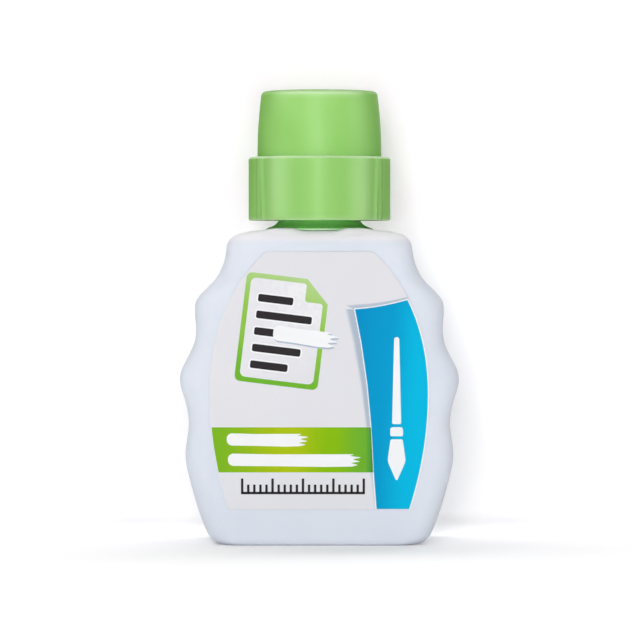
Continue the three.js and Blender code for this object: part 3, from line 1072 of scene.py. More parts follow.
@dataclass
class PrintedLabel(Assembly):
    """A film label that lies flat on the bottle, with raised ink in plain fields and pictograms."""

    body = Body.BOTTLE
    foot: Flat = (15.0, 6.02)
    widest: Flat = (18.1, 25.02)
    top: Flat = (8.9, 48.43)
    side_reach: float = 14.5
    face: float = 10.5
    thickness: float = 0.2
    rim: float = 0.1
    ink: float = 0.012
    band: Flat = (12.15, 19.56)
    panel_left: tuple[Flat, ...] = (
        (6.02, 9.42), (12.15, 8.94), (19.56, 8.56), (26.47, 7.92), (33.4, 6.93), (38.99, 5.85))
    panel_top: tuple[Flat, ...] = ((5.85, 38.99), (9.83, 39.2), (14.4, 40.5))
    panel_inset: float = 0.27
    panel_rim: float = 0.17
    edges: list[Flat] = field(init=False)
    sketch: Sketch = field(init=False)

    def __post_init__(self) -> None:
        """Finds the label's half width at rising heights."""
        middle = (self.widest[0], (self.foot[1] + self.widest[1]) / 2)
        upper = (self.widest[0], self.widest[1] + self.side_reach)
        curve = self.bow(self.foot, middle, self.widest)
        curve += self.bow(self.widest, upper, self.top)[1:]
        self.edges = [(height, half) for half, height in curve]

    @staticmethod
    def bow(start: Flat, bend: Flat, end: Flat, steps: int = 24) -> list[Flat]:
        """Returns points on a bowed line from start to end, drawn towards bend."""
        return [tuple((1 - s) ** 2 * a + 2 * s * (1 - s) * b + s * s * c
                      for a, b, c in zip(start, bend, end))
                for s in (step / steps for step in range(steps + 1))]

    def edge(self, height: float) -> float:
        """Returns the label's half width at a height."""
        return along(self.edges, height)

    def panel_edge(self, height: float) -> float:
        """Returns where the side panel's left edge lies at a height."""
        return along(self.panel_left, height)

    def level(self, outline: Sequence[Flat], lift: float) -> Ring:
        """Returns an outline's points at a lift above the bottle's face."""
        return [(x, -self.face - lift, z) for x, z in outline]

    def outline(self, inset: float) -> list[Flat]:
        """Finds the label's outline, set in, anticlockwise from the front.

        Args:
            inset: How far it is set in.

        Returns:
            Its points.
        """
        low, high = self.foot[1] + inset, self.top[1] - inset
        heights = [low, *(z for z, _ in self.edges if low + 0.3 < z < high - 0.3), high]
        corners = [(self.edge(z) - inset * 1.1, z, 0.0) for z in heights]
        corners[0], corners[-1] = (*corners[0][:2], 0.5), (*corners[-1][:2], 1.2)
        corners += [(-x, z, r) for x, z, r in reversed(corners)]
        return rounded(corners, closed=True, steps=4)

    def start(self) -> None:
        """Starts a new sketch with the film itself, whose rim is rounded."""
        self.sketch, rim = Sketch(), self.rim
        levels = [(0.0, 0.0), *((rim * (1 - math.cos(a)), self.thickness - rim * (1 - math.sin(a)))
                                for a in quarter(4))]
        self.sketch.block([self.level(self.outline(inset), lift) for inset, lift in levels])

    def add_ink(self, outline: Iterable[Flat], ink: Print, layer: int = 1) -> None:
        """Adds one field of ink.

        Args:
            outline: The field's outline, anticlockwise from the front.
            ink: The ink.
            layer: How many layers of ink it stands proud.
        """
        outline = list(outline)
        lifts = (self.thickness - 0.02, self.thickness + self.ink * layer)
        self.sketch.block([self.level(outline, lift) for lift in lifts], ink)

    def add_shape(self, corners: Sequence[Spot], ink: Print, layer: int = 1,
                  middle: Flat = (0.0, 0.0), tilt: float = 0.0) -> None:
        """Adds a field of ink from its corners.

        Args:
            corners: Place across, place up and radius of each corner, anticlockwise from the front.
            ink: The ink.
            layer: How many layers of ink it stands proud.
            middle: Where the corners' origin lies.
            tilt: How far the shape leans to the left, in degrees.
        """
        cos, sin = math.cos(math.radians(tilt)), math.sin(math.radians(tilt))
        turned = [(middle[0] + x * cos - z * sin, middle[1] + x * sin + z * cos, radius)
                  for x, z, radius in corners]
        self.add_ink(rounded(turned, closed=True, steps=4), ink, layer)

    @staticmethod
    def bar(left: float, right: float, middle: float, tall: float,
            radius: float = 0.1) -> list[Spot]:
        """Returns the corners of a level bar."""
        low, high = middle - tall / 2, middle + tall / 2
        return [(left, low, radius), (right, low, radius), (right, high, radius),
                (left, high, radius)]

    @staticmethod
    def stroke(left: float, right: float, middle: float, tall: float) -> list[Spot]:
        """Finds the corners of a stroke of paint, whose right end is ragged.

        Args:
            left: Its left end.
            right: About its right end.
            middle: Height of its middle.
            tall: How tall it is.

        Returns:
            The corners. Each is drawn as a share of the length, a step aside, a share of the height
            and a radius.
        """
        edge = ((0, 0.2, -0.44, 0.9), (0.4, 0, -0.47, 3), (0.75, 0, -0.53, 3), (1, -0.8, -0.5, 0.2),
                (1, 0.2, -0.37, 0.05), (1, -1.1, -0.22, 0.05), (1, 0.6, -0.1, 0.05),
                (1, -0.8, 0.06, 0.05), (1, 0.8, 0.22, 0.05), (1, -1.3, 0.34, 0.05),
                (1, -0.3, 0.47, 0.05), (0.35, 0, 0.46, 3), (0, 0.1, 0.53, 0.9))
        return [(between(left, right, share) + aside, middle + up * tall, radius)
                for share, aside, up, radius in edge]

    def add_shade(self, near: Sequence[Flat], far: Sequence[Flat],
                  pale: Sequence[float]) -> None:
        """Adds a soft shade between two lines, dark at the near one and gone at the far one.

        Args:
            near: Points of the dark line.
            far: As many points of the line where the shade ends.
            pale: How faint the shade is at each point, from 0 to 1.
        """
        rows, steps = [], 7
        fade = self.sketch.masks.setdefault(Mask.FADE, {})
        for share in (step / steps for step in range(steps + 1)):
            row = [mix(a, b, share) for a, b in zip(near, far)]
            rows.append(self.sketch.place(self.level(row, self.thickness + self.ink * 0.4)))
            for number, least in zip(rows[-1], pale):
                fade[number] = max(smooth(0.5, 1.0, share), least)
        for low, high in zip(rows, rows[1:]):
            for side in range(len(low) - 1):
                corners = (low[side], low[side + 1], high[side + 1], high[side])
                self.sketch.face(corners, Print.SHADE)

    def add_panel(self) -> None:
        """Adds the side panel with its pale edge, and its soft shade on the left and above."""
        inset, pale, foot = self.panel_inset, self.panel_rim, self.foot[1]
        corner = self.panel_top[0][1]
        heights = [between(foot + self.rim, corner, step / 24) for step in range(25)]
        left = [(self.panel_edge(z), z) for z in heights]
        top = self.bow(*self.panel_top, steps=12)
        high = top[-1][1]
        top[-1] = (self.edge(high) - inset, high)
        falling = [between(high, heights[0], step / 24) for step in range(25)][1:]
        rim = [(x - pale, z) for x, z in left] + [(x, z + pale) for x, z in top]
        rim += [(self.edge(z) - self.rim, z) for z in falling]
        field_edge = left + top[1:] + [(self.edge(z) - inset, z) for z in falling]
        self.add_ink(reversed(rim), Print.WHITE)
        self.add_ink(reversed(field_edge), Print.PANEL, 2)
        side = [(x - pale - between(0.2, 1.6, (z - foot) / (corner - foot)), z) for x, z in left]
        faint = [between(0.8, 0.0, smooth(foot, 24.0, z)) for z in heights]
        self.add_shade([(x - pale, z) for x, z in left], side, faint)
        x, z = left[-1]
        near = [(x - pale, z), *((x, z + pale) for x, z in top[1:])]
        far = [(x, z + between(0.75, 0.4, n / len(near))) for n, (x, z) in enumerate(near)]
        far[0] = (side[-1][0], far[0][1])
        self.add_shade(near[::-1], far[::-1], [0.15] * len(near))

    def add_band(self, right: Callable[[float], float]) -> None:
        """Adds the level band from the label's left edge to a right edge that depends on height."""
        rows = [between(*self.band, step / 8) for step in range(9)]
        left = [(-self.edge(z) + self.rim * 1.2, z) for z in reversed(rows)]
        self.add_ink(left + [(right(z), z) for z in rows], Print.BAND)

    def add_page(self, middle: Flat, tilt: float) -> None:
        """Adds the pictogram of a ruled page with a stroke of fluid over one of its lines.

        Args:
            middle: Where the page's middle lies.
            tilt: How far the page leans to the left, in degrees.
        """
        shapes = []
        for inset, ink, layer in ((0.0, Print.LEAF, 1), (0.8, Print.FILM, 2)):
            half, tall, fold = 6.9 - inset, 9.0 - inset, 3.8 - inset * 0.6
            shapes.append(([(-half, -tall, 0.9), (half, -tall, 0.9), (half, tall - fold, 0.3),
                            (half - fold, tall, 0.3), (-half, tall, 0.9)], ink, layer))
        shapes.append(([(3.1, 5.2, 0.5), (6.9, 5.2, 0.1), (3.1, 9.0, 0.1)], Print.LEAF, 3))
        for number, right in enumerate((1.2, 4.6, 4.6, 3.4, 1.6)):
            for grown, ink, layer in ((0.25, Print.WHITE, 3), (0.0, Print.DARK, 4)):
                line = self.bar(-4.6 - grown, right + grown, 5.0 - number * 2.75, 1.25 + grown * 2,
                                0.3 + grown)
                shapes.append((line, ink, layer))
        for aside, down, ink, layer in ((0.2, -0.25, Print.SHADE, 5), (0.0, 0.0, Print.WHITE, 6)):
            shapes.append((self.stroke(-1.6 + aside, 8.6 + aside, -0.5 + down, 2.6), ink, layer))
        for corners, ink, layer in shapes:
            self.add_shape(corners, ink, layer, middle, tilt)

    def add_brush(self, tip: Flat) -> None:
        """Adds the pictogram of an upright brush: its hair, its ferrule and its handle."""
        hair = [(0.0, 0.0, 0.2), (1.5, 3.4, 2.0), (1.0, 7.0, 0.3), (-1.0, 7.0, 0.3),
                (-1.5, 3.4, 2.0)]
        shafts = [[(-wide, low, 0.25), (wide, low, 0.25), (narrow, high, 0.4), (-narrow, high, 0.4)]
                  for low, high, wide, narrow in ((7.5, 9.0, 1.05, 1.05), (9.5, 23.8, 0.75, 0.42))]
        for corners in (hair, *shafts):
            self.add_shape(corners, Print.WHITE, 3, tip)

    def add_rule(self, left: float, base: float, ticks: int = 21) -> None:
        """Adds a plain scale of upright ticks, a millimetre apart, on a base line.

        Args:
            left: Where its left end lies.
            base: Height of the base line.
            ticks: How many ticks it has.
        """
        wide = 0.4
        self.add_shape(self.bar(left, left + ticks - 1 + wide, base, wide), Print.DARK)
        for tick in range(ticks):
            tall = 2.4 if tick % 5 == 0 else 1.4
            line = self.bar(left + tick, left + tick + wide, base + tall / 2, tall)
            self.add_shape(line, Print.DARK)

    def build_front(self) -> Piece:
        """Makes the front label and dresses it."""
        self.start()
        self.add_panel()
        self.add_band(lambda height: self.panel_edge(height) - 0.1)
        self.add_page((-6.1, 35.4), -7.0)
        self.add_brush((12.7, 10.6))
        for left, right, middle in ((-15.4, -2.4, 17.5), (-15.2, 6.2, 14.15)):
            self.add_shape(self.stroke(left, right, middle, 2.1), Print.WHITE, 2)
        self.add_rule(-12.9, 8.75)
        return self.dress_label("front_label", GREEN_INK)

    def build_back(self) -> Piece:
        """Makes the back label, a plain write-on field over the same band and scale."""
        self.start()
        self.add_band(lambda height: self.edge(height) - self.rim * 1.2)
        for height in (42.0 - number * 3.6 for number in range(6)):
            reach = self.edge(height) - 3.2
            self.add_shape(self.bar(-reach, reach, height, 0.3), Print.RULE)
        self.add_rule(-10.2, 8.75)
        self.sketch.points = [(-x, -y, z) for x, y, z in self.sketch.points]
        return self.dress_label("back_label", BACK_GREEN_INK)

    def dress_label(self, node: str, band: InkFinish) -> Piece:
        """Gives a label its film and its inks, in the order of Print."""
        inks = (LABEL_FILM, band, BLUE_INK, WHITE_INK, SHADE_INK, LEAF_INK, DARK_INK, GREY_INK)
        return self.dress(self.sketch, node + "_film", node, *inks, slot="label", sharp=30)


@dataclass
class NeckWiper(Assembly):
    """The plug in the neck, whose lip wipes the brush."""

    body = Body.BOTTLE
    lip_radius: float = 2.4
    bore_radius: float = 2.6
    sleeve_radius: float = 3.65
    flange_radius: float = 4.7
    low: float = 55.225
    flange_low: float = 61.225
    flange_top: float = 61.825

    def build(self) -> Piece:
        """Makes the wiper and dresses it."""
        sketch, low, foot, top = Sketch(), self.low, self.flange_low, self.flange_top
        corners = [(self.lip_radius, low, 0.08), (self.sleeve_radius, low, 0.3),
                   (self.sleeve_radius, foot, 0.1), (self.flange_radius, foot, 0.1),
                   (self.flange_radius, top, 0.2), (self.bore_radius, top, 0.25),
                   (self.bore_radius, low + 0.3, 0.15)]
        sketch.turn(rounded(corners, closed=True), loop=True)
        return self.dress(sketch, "wiper_plug", "neck_wiper", NATURAL_PLASTIC)


@dataclass
class SealLiner(Assembly):
    """The loose foam ring under the cap's plate."""

    body = Body.LINER
    inner_radius: float = 1.8
    outer_radius: float = 5.65
    low: float = 61.875
    top: float = 62.825

    def build(self) -> Piece:
        """Makes the liner and dresses it."""
        sketch = Sketch()
        corners = [(self.inner_radius, self.low, 0.1), (self.outer_radius, self.low, 0.15),
                   (self.outer_radius, self.top, 0.15), (self.inner_radius, self.top, 0.1)]
        sketch.turn(rounded(corners, closed=True), loop=True)
        return self.dress(sketch, "foam_seal", "seal_liner", FOAM)


@dataclass
class InnerCap(Assembly):
    """The threaded cup of the cap, with its flared skirt, its lugs and the brush's spigot."""

    bore: float = 5.95
    radius: float = 6.8
    flare: tuple[Flat, ...] = (
        (8.98, 52.12), (8.94, 52.24), (8.7, 52.36), (8.3, 52.5), (7.8, 52.7), (7.28, 53.04),
        (6.95, 53.38), (6.8, 53.8))
    lip_radius: float = 8.6
    skirt_low: float = 51.985
    underside_rise: float = 1.7
    plate_low: float = 62.875
    plate_top: float = 64.075
    spigot_radius: float = 1.0
    spigot_length: float = 4.5
    lug_inner: float = 5.15
    lug_middle: float = 55.075
    lug_height: float = 1.0
    lug_span: float = 22.0

    def build(self) -> Piece:
        """Makes the inner cap and dresses it."""
        sketch, bore, foot, lip = Sketch(), self.bore, self.skirt_low, self.lip_radius
        low, end, spigot = self.plate_low, self.plate_low - self.spigot_length, self.spigot_radius
        rise = self.underside_rise
        outline = rounded([(0, end, 0), (spigot, end, 0.25), (spigot, low, 0.15), (bore, low, 0.25),
                           (bore, 58.0, 0)])
        outline += arc((lip, foot + rise), lip - bore, rise, 180, 262, 10)
        outline += [(lip, foot), (8.88, foot + 0.02), (8.96, foot + 0.07), *self.flare]
        outline += rounded([(self.radius, 60.0, 0), (self.radius, self.plate_top, 0.5),
                            (0, self.plate_top, 0)])
        sketch.turn(outline, 120)
        for start in (0.0, 180.0):
            sketch.wind(start, self.lug_span, 12, self.lug_section)
        return self.dress(sketch, "threaded_cap", "inner_cap", SKIRT_GREEN)

    def lug_section(self, share: float) -> list[Flat]:
        """Finds the section of a lug that turns under a ramp of the bottle's thread.

        Args:
            share: How far along the lug it is, from 0 to 1.

        Returns:
            Its outline of radius and height.
        """
        outer, half = self.bore + 0.3, self.lug_height / 2
        full = 0.25 + 0.75 * smooth(0, 0.2, share) * smooth(0, 0.2, 1 - share)
        inner = outer - (outer - self.lug_inner) * full
        corners = [(inner, -half * full, 0.15), (outer, -half, 0), (outer, half, 0),
                   (inner, half * full, 0.15)]
        outline = rounded(corners, closed=True, steps=3)
        return [(r, self.lug_middle + z) for r, z in reversed(outline)]


@dataclass
class CapShell(Assembly):
    """The outer shell of the cap: a smooth dome over a collar with lobed pads and flat notches.

    The fields from the lobe highlight on are painted light: highlights on the lobes' crests, the
    collar's top and foot edges and the dome's rim, and shade in the lobes' valleys, on the notch
    strips and on the dome's crown.
    """

    collar_radius: float = 11.85
    collar_low: float = 53.625
    collar_top: float = 64.2
    lobe_depth: float = 0.25
    lobes: int = 3
    pad_half_angle: float = 53.5
    pad_top_gain: float = 3.0
    notch_end: float = 60.5
    notch_depth: float = 0.22
    edge_round: float = 0.45
    foot_round: float = 0.25
    dome_foot: float = 10.36
    dome_taper: float = 0.62
    dome_bulge: float = 0.18
    dome_round: float = 0.8
    top: float = 75.225
    collar_hollow: float = 10.15
    dome_hollow: float = 9.1
    wall: float = 1.2
    rib_count: int = 6
    rib_thickness: float = 1.2
    rib_inner: float = 6.9
    rib_outer: float = 10.4
    rib_low: float = 57.075
    lobe_highlight: Flat = (0.05, 0.4)
    top_edge_highlight: float = 3.6
    foot_edge_highlight: float = 1.3
    rim_highlight: float = 2.6
    lobe_valley_shade: float = 0.11
    notch_strip_shade: Flat = (0.5, 0.3)
    crown_shade: float = 0.6

    @staticmethod
    def from_pad(degrees: float) -> float:
        """Returns how far an angle from the front is from the middle of the nearer wide pad."""
        return abs((degrees + 90) % 180 - 90)

    def radius_at(self, degrees: float, share: float) -> float:
        """Finds the collar's radius.

        Args:
            degrees: Angle from the front.
            share: How far up the collar, from 0 to 1.

        Returns:
            The radius, with lobes on the wide pads and a notch at each end of them.
        """
        away = self.from_pad(degrees)
        pad = self.pad_half_angle + self.pad_top_gain * share
        wave = math.cos(min(away / self.pad_half_angle, 1.0) * self.lobes * math.pi)
        lobe = self.lobe_depth * (1 - wave) / 2 * smooth(pad + 1, pad - 4, away)
        into = smooth(pad - 0.2, pad + 0.9, away)
        out = smooth(self.notch_end - 4.5, self.notch_end + 0.8, away)
        depth = self.notch_depth * between(1.0, 0.75, share)
        radius = between(self.collar_radius - lobe, self.collar_radius, out)
        return radius - depth * into * (1 - out)

    def bearings(self) -> list[float]:
        """Returns angles from the front, close together where the notches are."""
        turns = [step * 1.5 for step in range(61)]
        turns += [self.notch_end + step * 0.2 - 0.6 for step in range(13)]
        turns += [self.pad_half_angle + step * 0.3 - 0.6 for step in range(17)]
        half = {round(angle, 3) for turn in turns for angle in (turn, 180 - turn)} - {180.0}
        return sorted(half) + [angle + 180 for angle in sorted(half)]

    def ring(self, height: float, radius_at: Callable[[float], float]) -> Ring:
        """Returns a level ring whose radius depends on the angle from the front."""
        turns = [(radius_at(angle), math.radians(angle)) for angle in self.bearings()]
        return [(r * math.sin(a), -r * math.cos(a), height) for r, a in turns]

    def collar_ring(self, height: float, inset: float) -> Ring:
        """Returns the collar's outline at a height, drawn in by an inset."""
        share = (height - self.collar_low) / (self.collar_top - self.collar_low)
        return self.ring(height, lambda angle: self.radius_at(angle, share) - inset)

    def round_ring(self, radius: float, height: float) -> Ring:
        """Returns a round ring with as many points as the collar's outline, or a pole."""
        return self.ring(height, lambda angle: radius) if radius > 0 else [(0.0, 0.0, height)]

    def dome_outline(self) -> list[Flat]:
        """Returns the dome's outline from the collar to the middle of its top."""
        foot, corner, top = self.collar_top + 0.02, self.top - self.dome_round, self.top
        side = [(self.dome_foot - self.dome_taper * share
                 + self.dome_bulge * math.sin(math.pi * share),
                 between(foot, corner, share)) for share in (step / 12 for step in range(13))]
        side.insert(-1, mix(*side[-2:], 0.8))
        edge = arc((self.dome_foot - self.dome_taper - self.dome_round, corner),
                   self.dome_round, self.dome_round - 0.06, 0, 90, 8)
        crown = [(8.0, top - 0.04), (5.0, top - 0.015), (1.2, top), (0.95, top - 0.1),
                 (0.0, top - 0.12)]
        return side + edge[1:] + crown

    def build(self) -> Piece:
        """Makes the shell and dresses it."""
        low, top, edge, foot = self.collar_low, self.collar_top, self.edge_round, self.foot_round
        ceiling, under = self.top - self.wall, top - self.wall
        dome_end = self.dome_foot - self.dome_taper - self.wall
        inside = rounded([(0, ceiling, 0), (dome_end, ceiling, 0.6), (self.dome_hollow, top, 0.1),
                          (self.dome_hollow, under, 0.2), (self.collar_hollow, under, 0.3),
                          (self.collar_hollow, low, 0.15), (10.9, low, 0)])
        rings = [self.round_ring(radius, height) for radius, height in inside]
        rings += [self.collar_ring(low + foot * (1 - math.cos(a)), foot * (1 - math.sin(a)))
                  for a in quarter(4)]
        rings += [self.collar_ring(between(low + foot, top - edge, step / 14), 0.0)
                  for step in range(1, 14)]
        rings += [self.collar_ring(top - edge * (1 - math.sin(a)), edge * (1 - math.cos(a)))
                  for a in quarter(6)]
        rings += [self.round_ring(radius, height) for radius, height in self.dome_outline()]
        sketch = Sketch()
        sketch.skin(rings)
        self.mark_edges(sketch)
        return self.dress(sketch, "cap_dome_and_collar", "cap_shell", CAP_GREEN)

    def mark_edges(self, sketch: Sketch) -> None:
        """Marks the painted highlights and the painted shade on the shell's outside.

        Args:
            sketch: The sketch of the shell.
        """
        crest, crease = (sketch.masks.setdefault(mask, {}) for mask in (Mask.PAINTED_HIGHLIGHT, Mask.PAINTED_SHADE))
        corner = self.top - self.dome_round
        for number, (x, y, z) in enumerate(sketch.points):
            radius = math.hypot(x, y)
            if self.collar_low < z < self.collar_top and radius > self.collar_hollow + 0.8:
                away = self.from_pad(math.degrees(math.atan2(x, -y)))
                crest[number], crease[number] = self.collar_edges(away, z)
            elif z > corner - 0.35 and radius > self.dome_foot - self.dome_taper - 0.85:
                # Painted highlight along the dome's rim, strongest in front and behind.
                rim = (smooth(corner - 0.35, corner + 0.2, z)
                       * smooth(corner + 0.6, corner + 0.35, z))
                crest[number] = self.rim_highlight * smooth(0.55, 0.97, abs(y) / radius) * rim
                # Painted shade on the dome's crown above the rim.
                crease[number] = self.crown_shade * smooth(corner + 0.4, corner + 0.6, z)

    def collar_edges(self, away: float, height: float) -> Flat:
        """Finds the painted highlight and the painted shade of a point on the collar's outside.

        Args:
            away: How far it is from the middle of the nearer wide pad, in degrees.
            height: Its height.

        Returns:
            Its painted highlight and its painted shade.
        """
        low, top, end = self.collar_low, self.collar_top, self.notch_end
        wave = math.cos(away / self.pad_half_angle * self.lobes * math.pi)
        if away < self.pad_half_angle:
            # Painted highlight on the lobes' crests, stronger on the side lobes, and painted shade
            # in their valleys.
            crest = (1 + wave) * between(*self.lobe_highlight, smooth(8, 30, away))
            crease = (1 - wave) * self.lobe_valley_shade
        else:
            crest = 0.0
            # Painted shade on the notch strip, darker at its foot.
            strip = between(*self.notch_strip_shade, (height - low) / (top - low))
            crease = strip * smooth(end + 1, end, away)
        # Painted highlights along the collar's top and foot edges.
        crest = max(crest, self.top_edge_highlight * smooth(top - 0.45, top - 0.12, height),
                    self.foot_edge_highlight * smooth(low + 0.3, low + 0.2, height))
        # Painted shade line along the notch's outer edge.
        line = smooth(1.1, 0.3, abs(away - end - 0.6))
        return crest, max(crease, line) * smooth(top, top - 0.5, height)

    def build_ribs(self) -> Piece:
        """Makes the ribs that grip the inner cap, by repeating one round the axis."""
        growth = Growth("grip_ribs", {
            "Rib Count": self.rib_count, "Rib Thickness": self.rib_thickness,
            "Inner Radius": self.rib_inner, "Outer Radius": self.rib_outer, "Low": self.rib_low,
            "High": self.collar_top - self.wall + 0.2})
        given = growth.given
        inner, outer = given["Inner Radius"], given["Outer Radius"]
        middle = growth.compute("DIVIDE", growth.total(inner, outer), 2.0)
        width = growth.compute("SUBTRACT", outer, inner)
        ends = [growth.spot(middle, 0.0, given[name]) for name in ("Low", "High")]
        line = growth.result("GeometryNodeCurvePrimitiveLine", *ends)
        shape = growth.result("GeometryNodeCurvePrimitiveQuadrilateral", width,
                              given["Rib Thickness"])
        soft = growth.result("GeometryNodeFilletCurve", shape, mode="POLY",
                             named={"Radius": 0.2 * MM, "Count": 4})
        rib = growth.result("GeometryNodeCurveToMesh", line, soft, named={"Fill Caps": True})
        turn = growth.product(growth.result("GeometryNodeInputIndex"), FULL_TURN)
        turn = growth.spot(0.0, 0.0, growth.compute("DIVIDE", turn, given["Rib Count"]))
        points = growth.result("GeometryNodePoints", given["Rib Count"])
        ribs = growth.result("GeometryNodeInstanceOnPoints", points,
                             named={"Instance": rib, "Rotation": turn})
        return settle(growth.grow(ribs, CAP_GREEN), self.body, "cap_shell")


class Growth(Board):
    """A geometry tree with named inputs for its sizes, run once to make a plain mesh."""

    def __init__(self, name: str, sizes: dict[str, float]) -> None:
        """Starts the tree with its inputs.

        Args:
            name: Name of the tree and of its piece.
            sizes: Sizes by name, in millimetres, or counts where they are whole numbers.
        """
        super().__init__(bpy.data.node_groups.new(name, "GeometryNodeTree"))
        self.name, self.sizes = name, sizes
        kinds = {"Geometry": "Geometry"}
        kinds |= {size: "Int" if isinstance(value, int) else "Float"
                  for size, value in sizes.items()}
        kinds["Material"] = "Material"
        face = self.tree.interface
        for label, kind in kinds.items():
            face.new_socket(label, in_out="INPUT", socket_type="NodeSocket" + kind)
        face.new_socket("Geometry", in_out="OUTPUT", socket_type="NodeSocketGeometry")
        self.given = self.add("NodeGroupInput").outputs

    def spot(self, x: object, y: object, z: object) -> Socket:
        """Returns a place or a turn from its three parts."""
        return self.result("ShaderNodeCombineXYZ", x, y, z)

    def store(self, points: Socket, name: str, value: Socket) -> Socket:
        """Returns points with a number kept on them under a name."""
        return self.result("GeometryNodeStoreNamedAttribute", points, data_type="FLOAT",
                           domain="POINT", named={"Name": name, "Value": value})

    def stored(self, name: str) -> Socket:
        """Returns a number kept on the points under a name."""
        node = self.add("GeometryNodeInputNamedAttribute", name, data_type="FLOAT")
        return next(s for s in node.outputs if s.name == "Attribute" and s.enabled)

    def grow(self, shape: Socket, finish: Finish) -> Piece:
        """Ends the tree, runs it once and keeps its result as a plain mesh.

        Args:
            shape: What the tree made.
            finish: The finish of the piece.

        Returns:
            The piece, with no modifier left.
        """
        real = self.result("GeometryNodeRealizeInstances", shape)
        self.add("NodeGroupOutput", self.result("GeometryNodeSetMaterial", real,
                                                named={"Material": self.given["Material"]}))
        piece = show(self.name, bpy.data.meshes.new(self.name + "_seed"))
        modifier = piece.modifiers.new("growth", "NODES")
        modifier.node_group = self.tree
        identifiers = {item.name: item.identifier for item in self.tree.interface.items_tree
                       if item.in_out == "INPUT"}
        for size, value in self.sizes.items():
            modifier[identifiers[size]] = value if isinstance(value, int) else value * MM
        modifier[identifiers["Material"]] = finish.material()
        evaluated = piece.evaluated_get(bpy.context.evaluated_depsgraph_get())
        mesh = bpy.data.meshes.new_from_object(evaluated)
        piece.modifiers.clear()
        piece.data, mesh.name = mesh, self.name
        finish_mesh(mesh)
        return piece


@dataclass
class Brush(Assembly):
    """The brush: a stem on the cap's spigot, a tuft of bristles, and the wire that holds it."""

    stem_radius: float = 1.5
    bore_radius: float = 1.08
    stem_low: float = 21.0
    stem_top: float = 62.825
    socket_top: float = 24.0
    spigot_end: float = 58.295
    tip_height: float = 9.0
    root_height: float = 23.9
    root_radius: float = 0.98
    belly_radius: float = 1.93
    tip_radius: float = 0.75
    bristle_count: int = 340
    bristle_radius: float = 0.075
    bristle_turn: float = 2.39996
    bristle_slack: float = 0.9
    tip_point: float = 1.6
    wire_width: float = 2.0
    wire_thickness: float = 0.3
    wire_middle: float = 22.5
    wire_height: float = 1.0

    def build_stem(self) -> Piece:
        """Makes the stem, hollow at both ends, and dresses it."""
        sketch, radius, bore = Sketch(), self.stem_radius, self.bore_radius
        low, top, end = self.stem_low, self.stem_top, self.spigot_end
        corners = [(0, self.socket_top, 0), (bore, self.socket_top, 0.2), (bore, low, 0.12),
                   (radius, low, 0.18), (radius, 30.0, 0), (radius, 45.0, 0), (radius, top, 0.15),
                   (bore, top, 0.1), (bore, end, 0.2), (0, end, 0)]
        sketch.turn(rounded(corners), 64)
        return self.dress(sketch, "brush_handle", "brush_stem", NATURAL_PLASTIC)

    def build_tuft(self) -> Piece:
        """Makes the bristles, each on its own bowed line from the tip to the root."""
        growth = Growth("bristle_bundle", {
            "Bristle Count": self.bristle_count, "Seed": 11, "Bristle Radius": self.bristle_radius,
            "Tip Height": self.tip_height, "Root Height": self.root_height,
            "Tip Radius": self.tip_radius, "Belly Radius": self.belly_radius,
            "Root Radius": self.root_radius})
        given, total, product = growth.given, growth.total, growth.product
        index = growth.result("GeometryNodeInputIndex")
        filled = growth.compute("DIVIDE", total(index, 0.5), given["Bristle Count"])
        slack = growth.add("FunctionNodeRandomValue", data_type="FLOAT",
                           named={"Seed": given["Seed"]})
        points = growth.result("GeometryNodePoints", given["Bristle Count"])
        for name, value in (("share", product(growth.compute("SQRT", filled), 0.96)),
                            ("angle", product(index, self.bristle_turn)),
                            ("slack", slack.outputs[1])):
            points = growth.store(points, name, value)
        line = growth.result("GeometryNodeResampleCurve",
                             growth.result("GeometryNodeCurvePrimitiveLine"), named={"Count": 9})
        placed = growth.result("GeometryNodeInstanceOnPoints", points, named={"Instance": line})
        real = growth.result("GeometryNodeRealizeInstances", placed)
        share, angle, slack = (growth.stored(name) for name in ("share", "angle", "slack"))
        up = growth.result("GeometryNodeSplineParameter")
        tip = total(given["Tip Height"], product(slack, self.bristle_slack * MM),
                    product(share, share, self.tip_point * MM))
        swell = growth.spread(up, 0.0, 0.42, given["Tip Radius"], given["Belly Radius"])
        shrink = growth.spread(up, 0.42, 0.8, given["Belly Radius"], given["Root Radius"])
        reach = product(growth.compute("MINIMUM", swell, shrink), share)
        sway = total(angle, product(growth.compute("SUBTRACT", slack, 0.5), up))
        flat = [product(reach, growth.compute(way, sway)) for way in ("COSINE", "SINE")]
        where = growth.spot(*flat, growth.blend_values(up, tip, given["Root Height"]))
        bent = growth.result("GeometryNodeSetPosition", real, named={"Position": where})
        thin = growth.result("GeometryNodeSetCurveRadius", bent,
                             named={"Radius": growth.spread(up, 0.0, 0.25, 0.45, 1.0)})
        profile = growth.result("GeometryNodeCurvePrimitiveCircle", mode="RADIUS",
                                named={"Resolution": 5, "Radius": given["Bristle Radius"]})
        tubes = growth.result("GeometryNodeCurveToMesh", thin, profile, named={"Fill Caps": True})
        return settle(growth.grow(tubes, BRISTLES), self.body, "bristle_tuft", "bristle_tuft")

    def build_wire(self) -> Piece:
        """Makes the wire that is driven across the tuft's fold, and dresses it."""
        sketch = Sketch()
        half, thick, tall = self.wire_width / 2, self.wire_thickness / 2, self.wire_height / 2
        outline = rounded([(-thick, -tall, 0.08), (thick, -tall, 0.08), (thick, tall, 0.08),
                           (-thick, tall, 0.08)], closed=True, steps=4)
        ends = ((-half, 0.8), (-half + 0.05, 1.0), (0.0, 1.0), (half - 0.05, 1.0), (half, 0.8))
        sketch.block([[(x, y * share, self.wire_middle + z * share) for y, z in outline]
                      for x, share in ends])
        return self.dress(sketch, "tuft_wire", "tuft_anchor", BRASS)


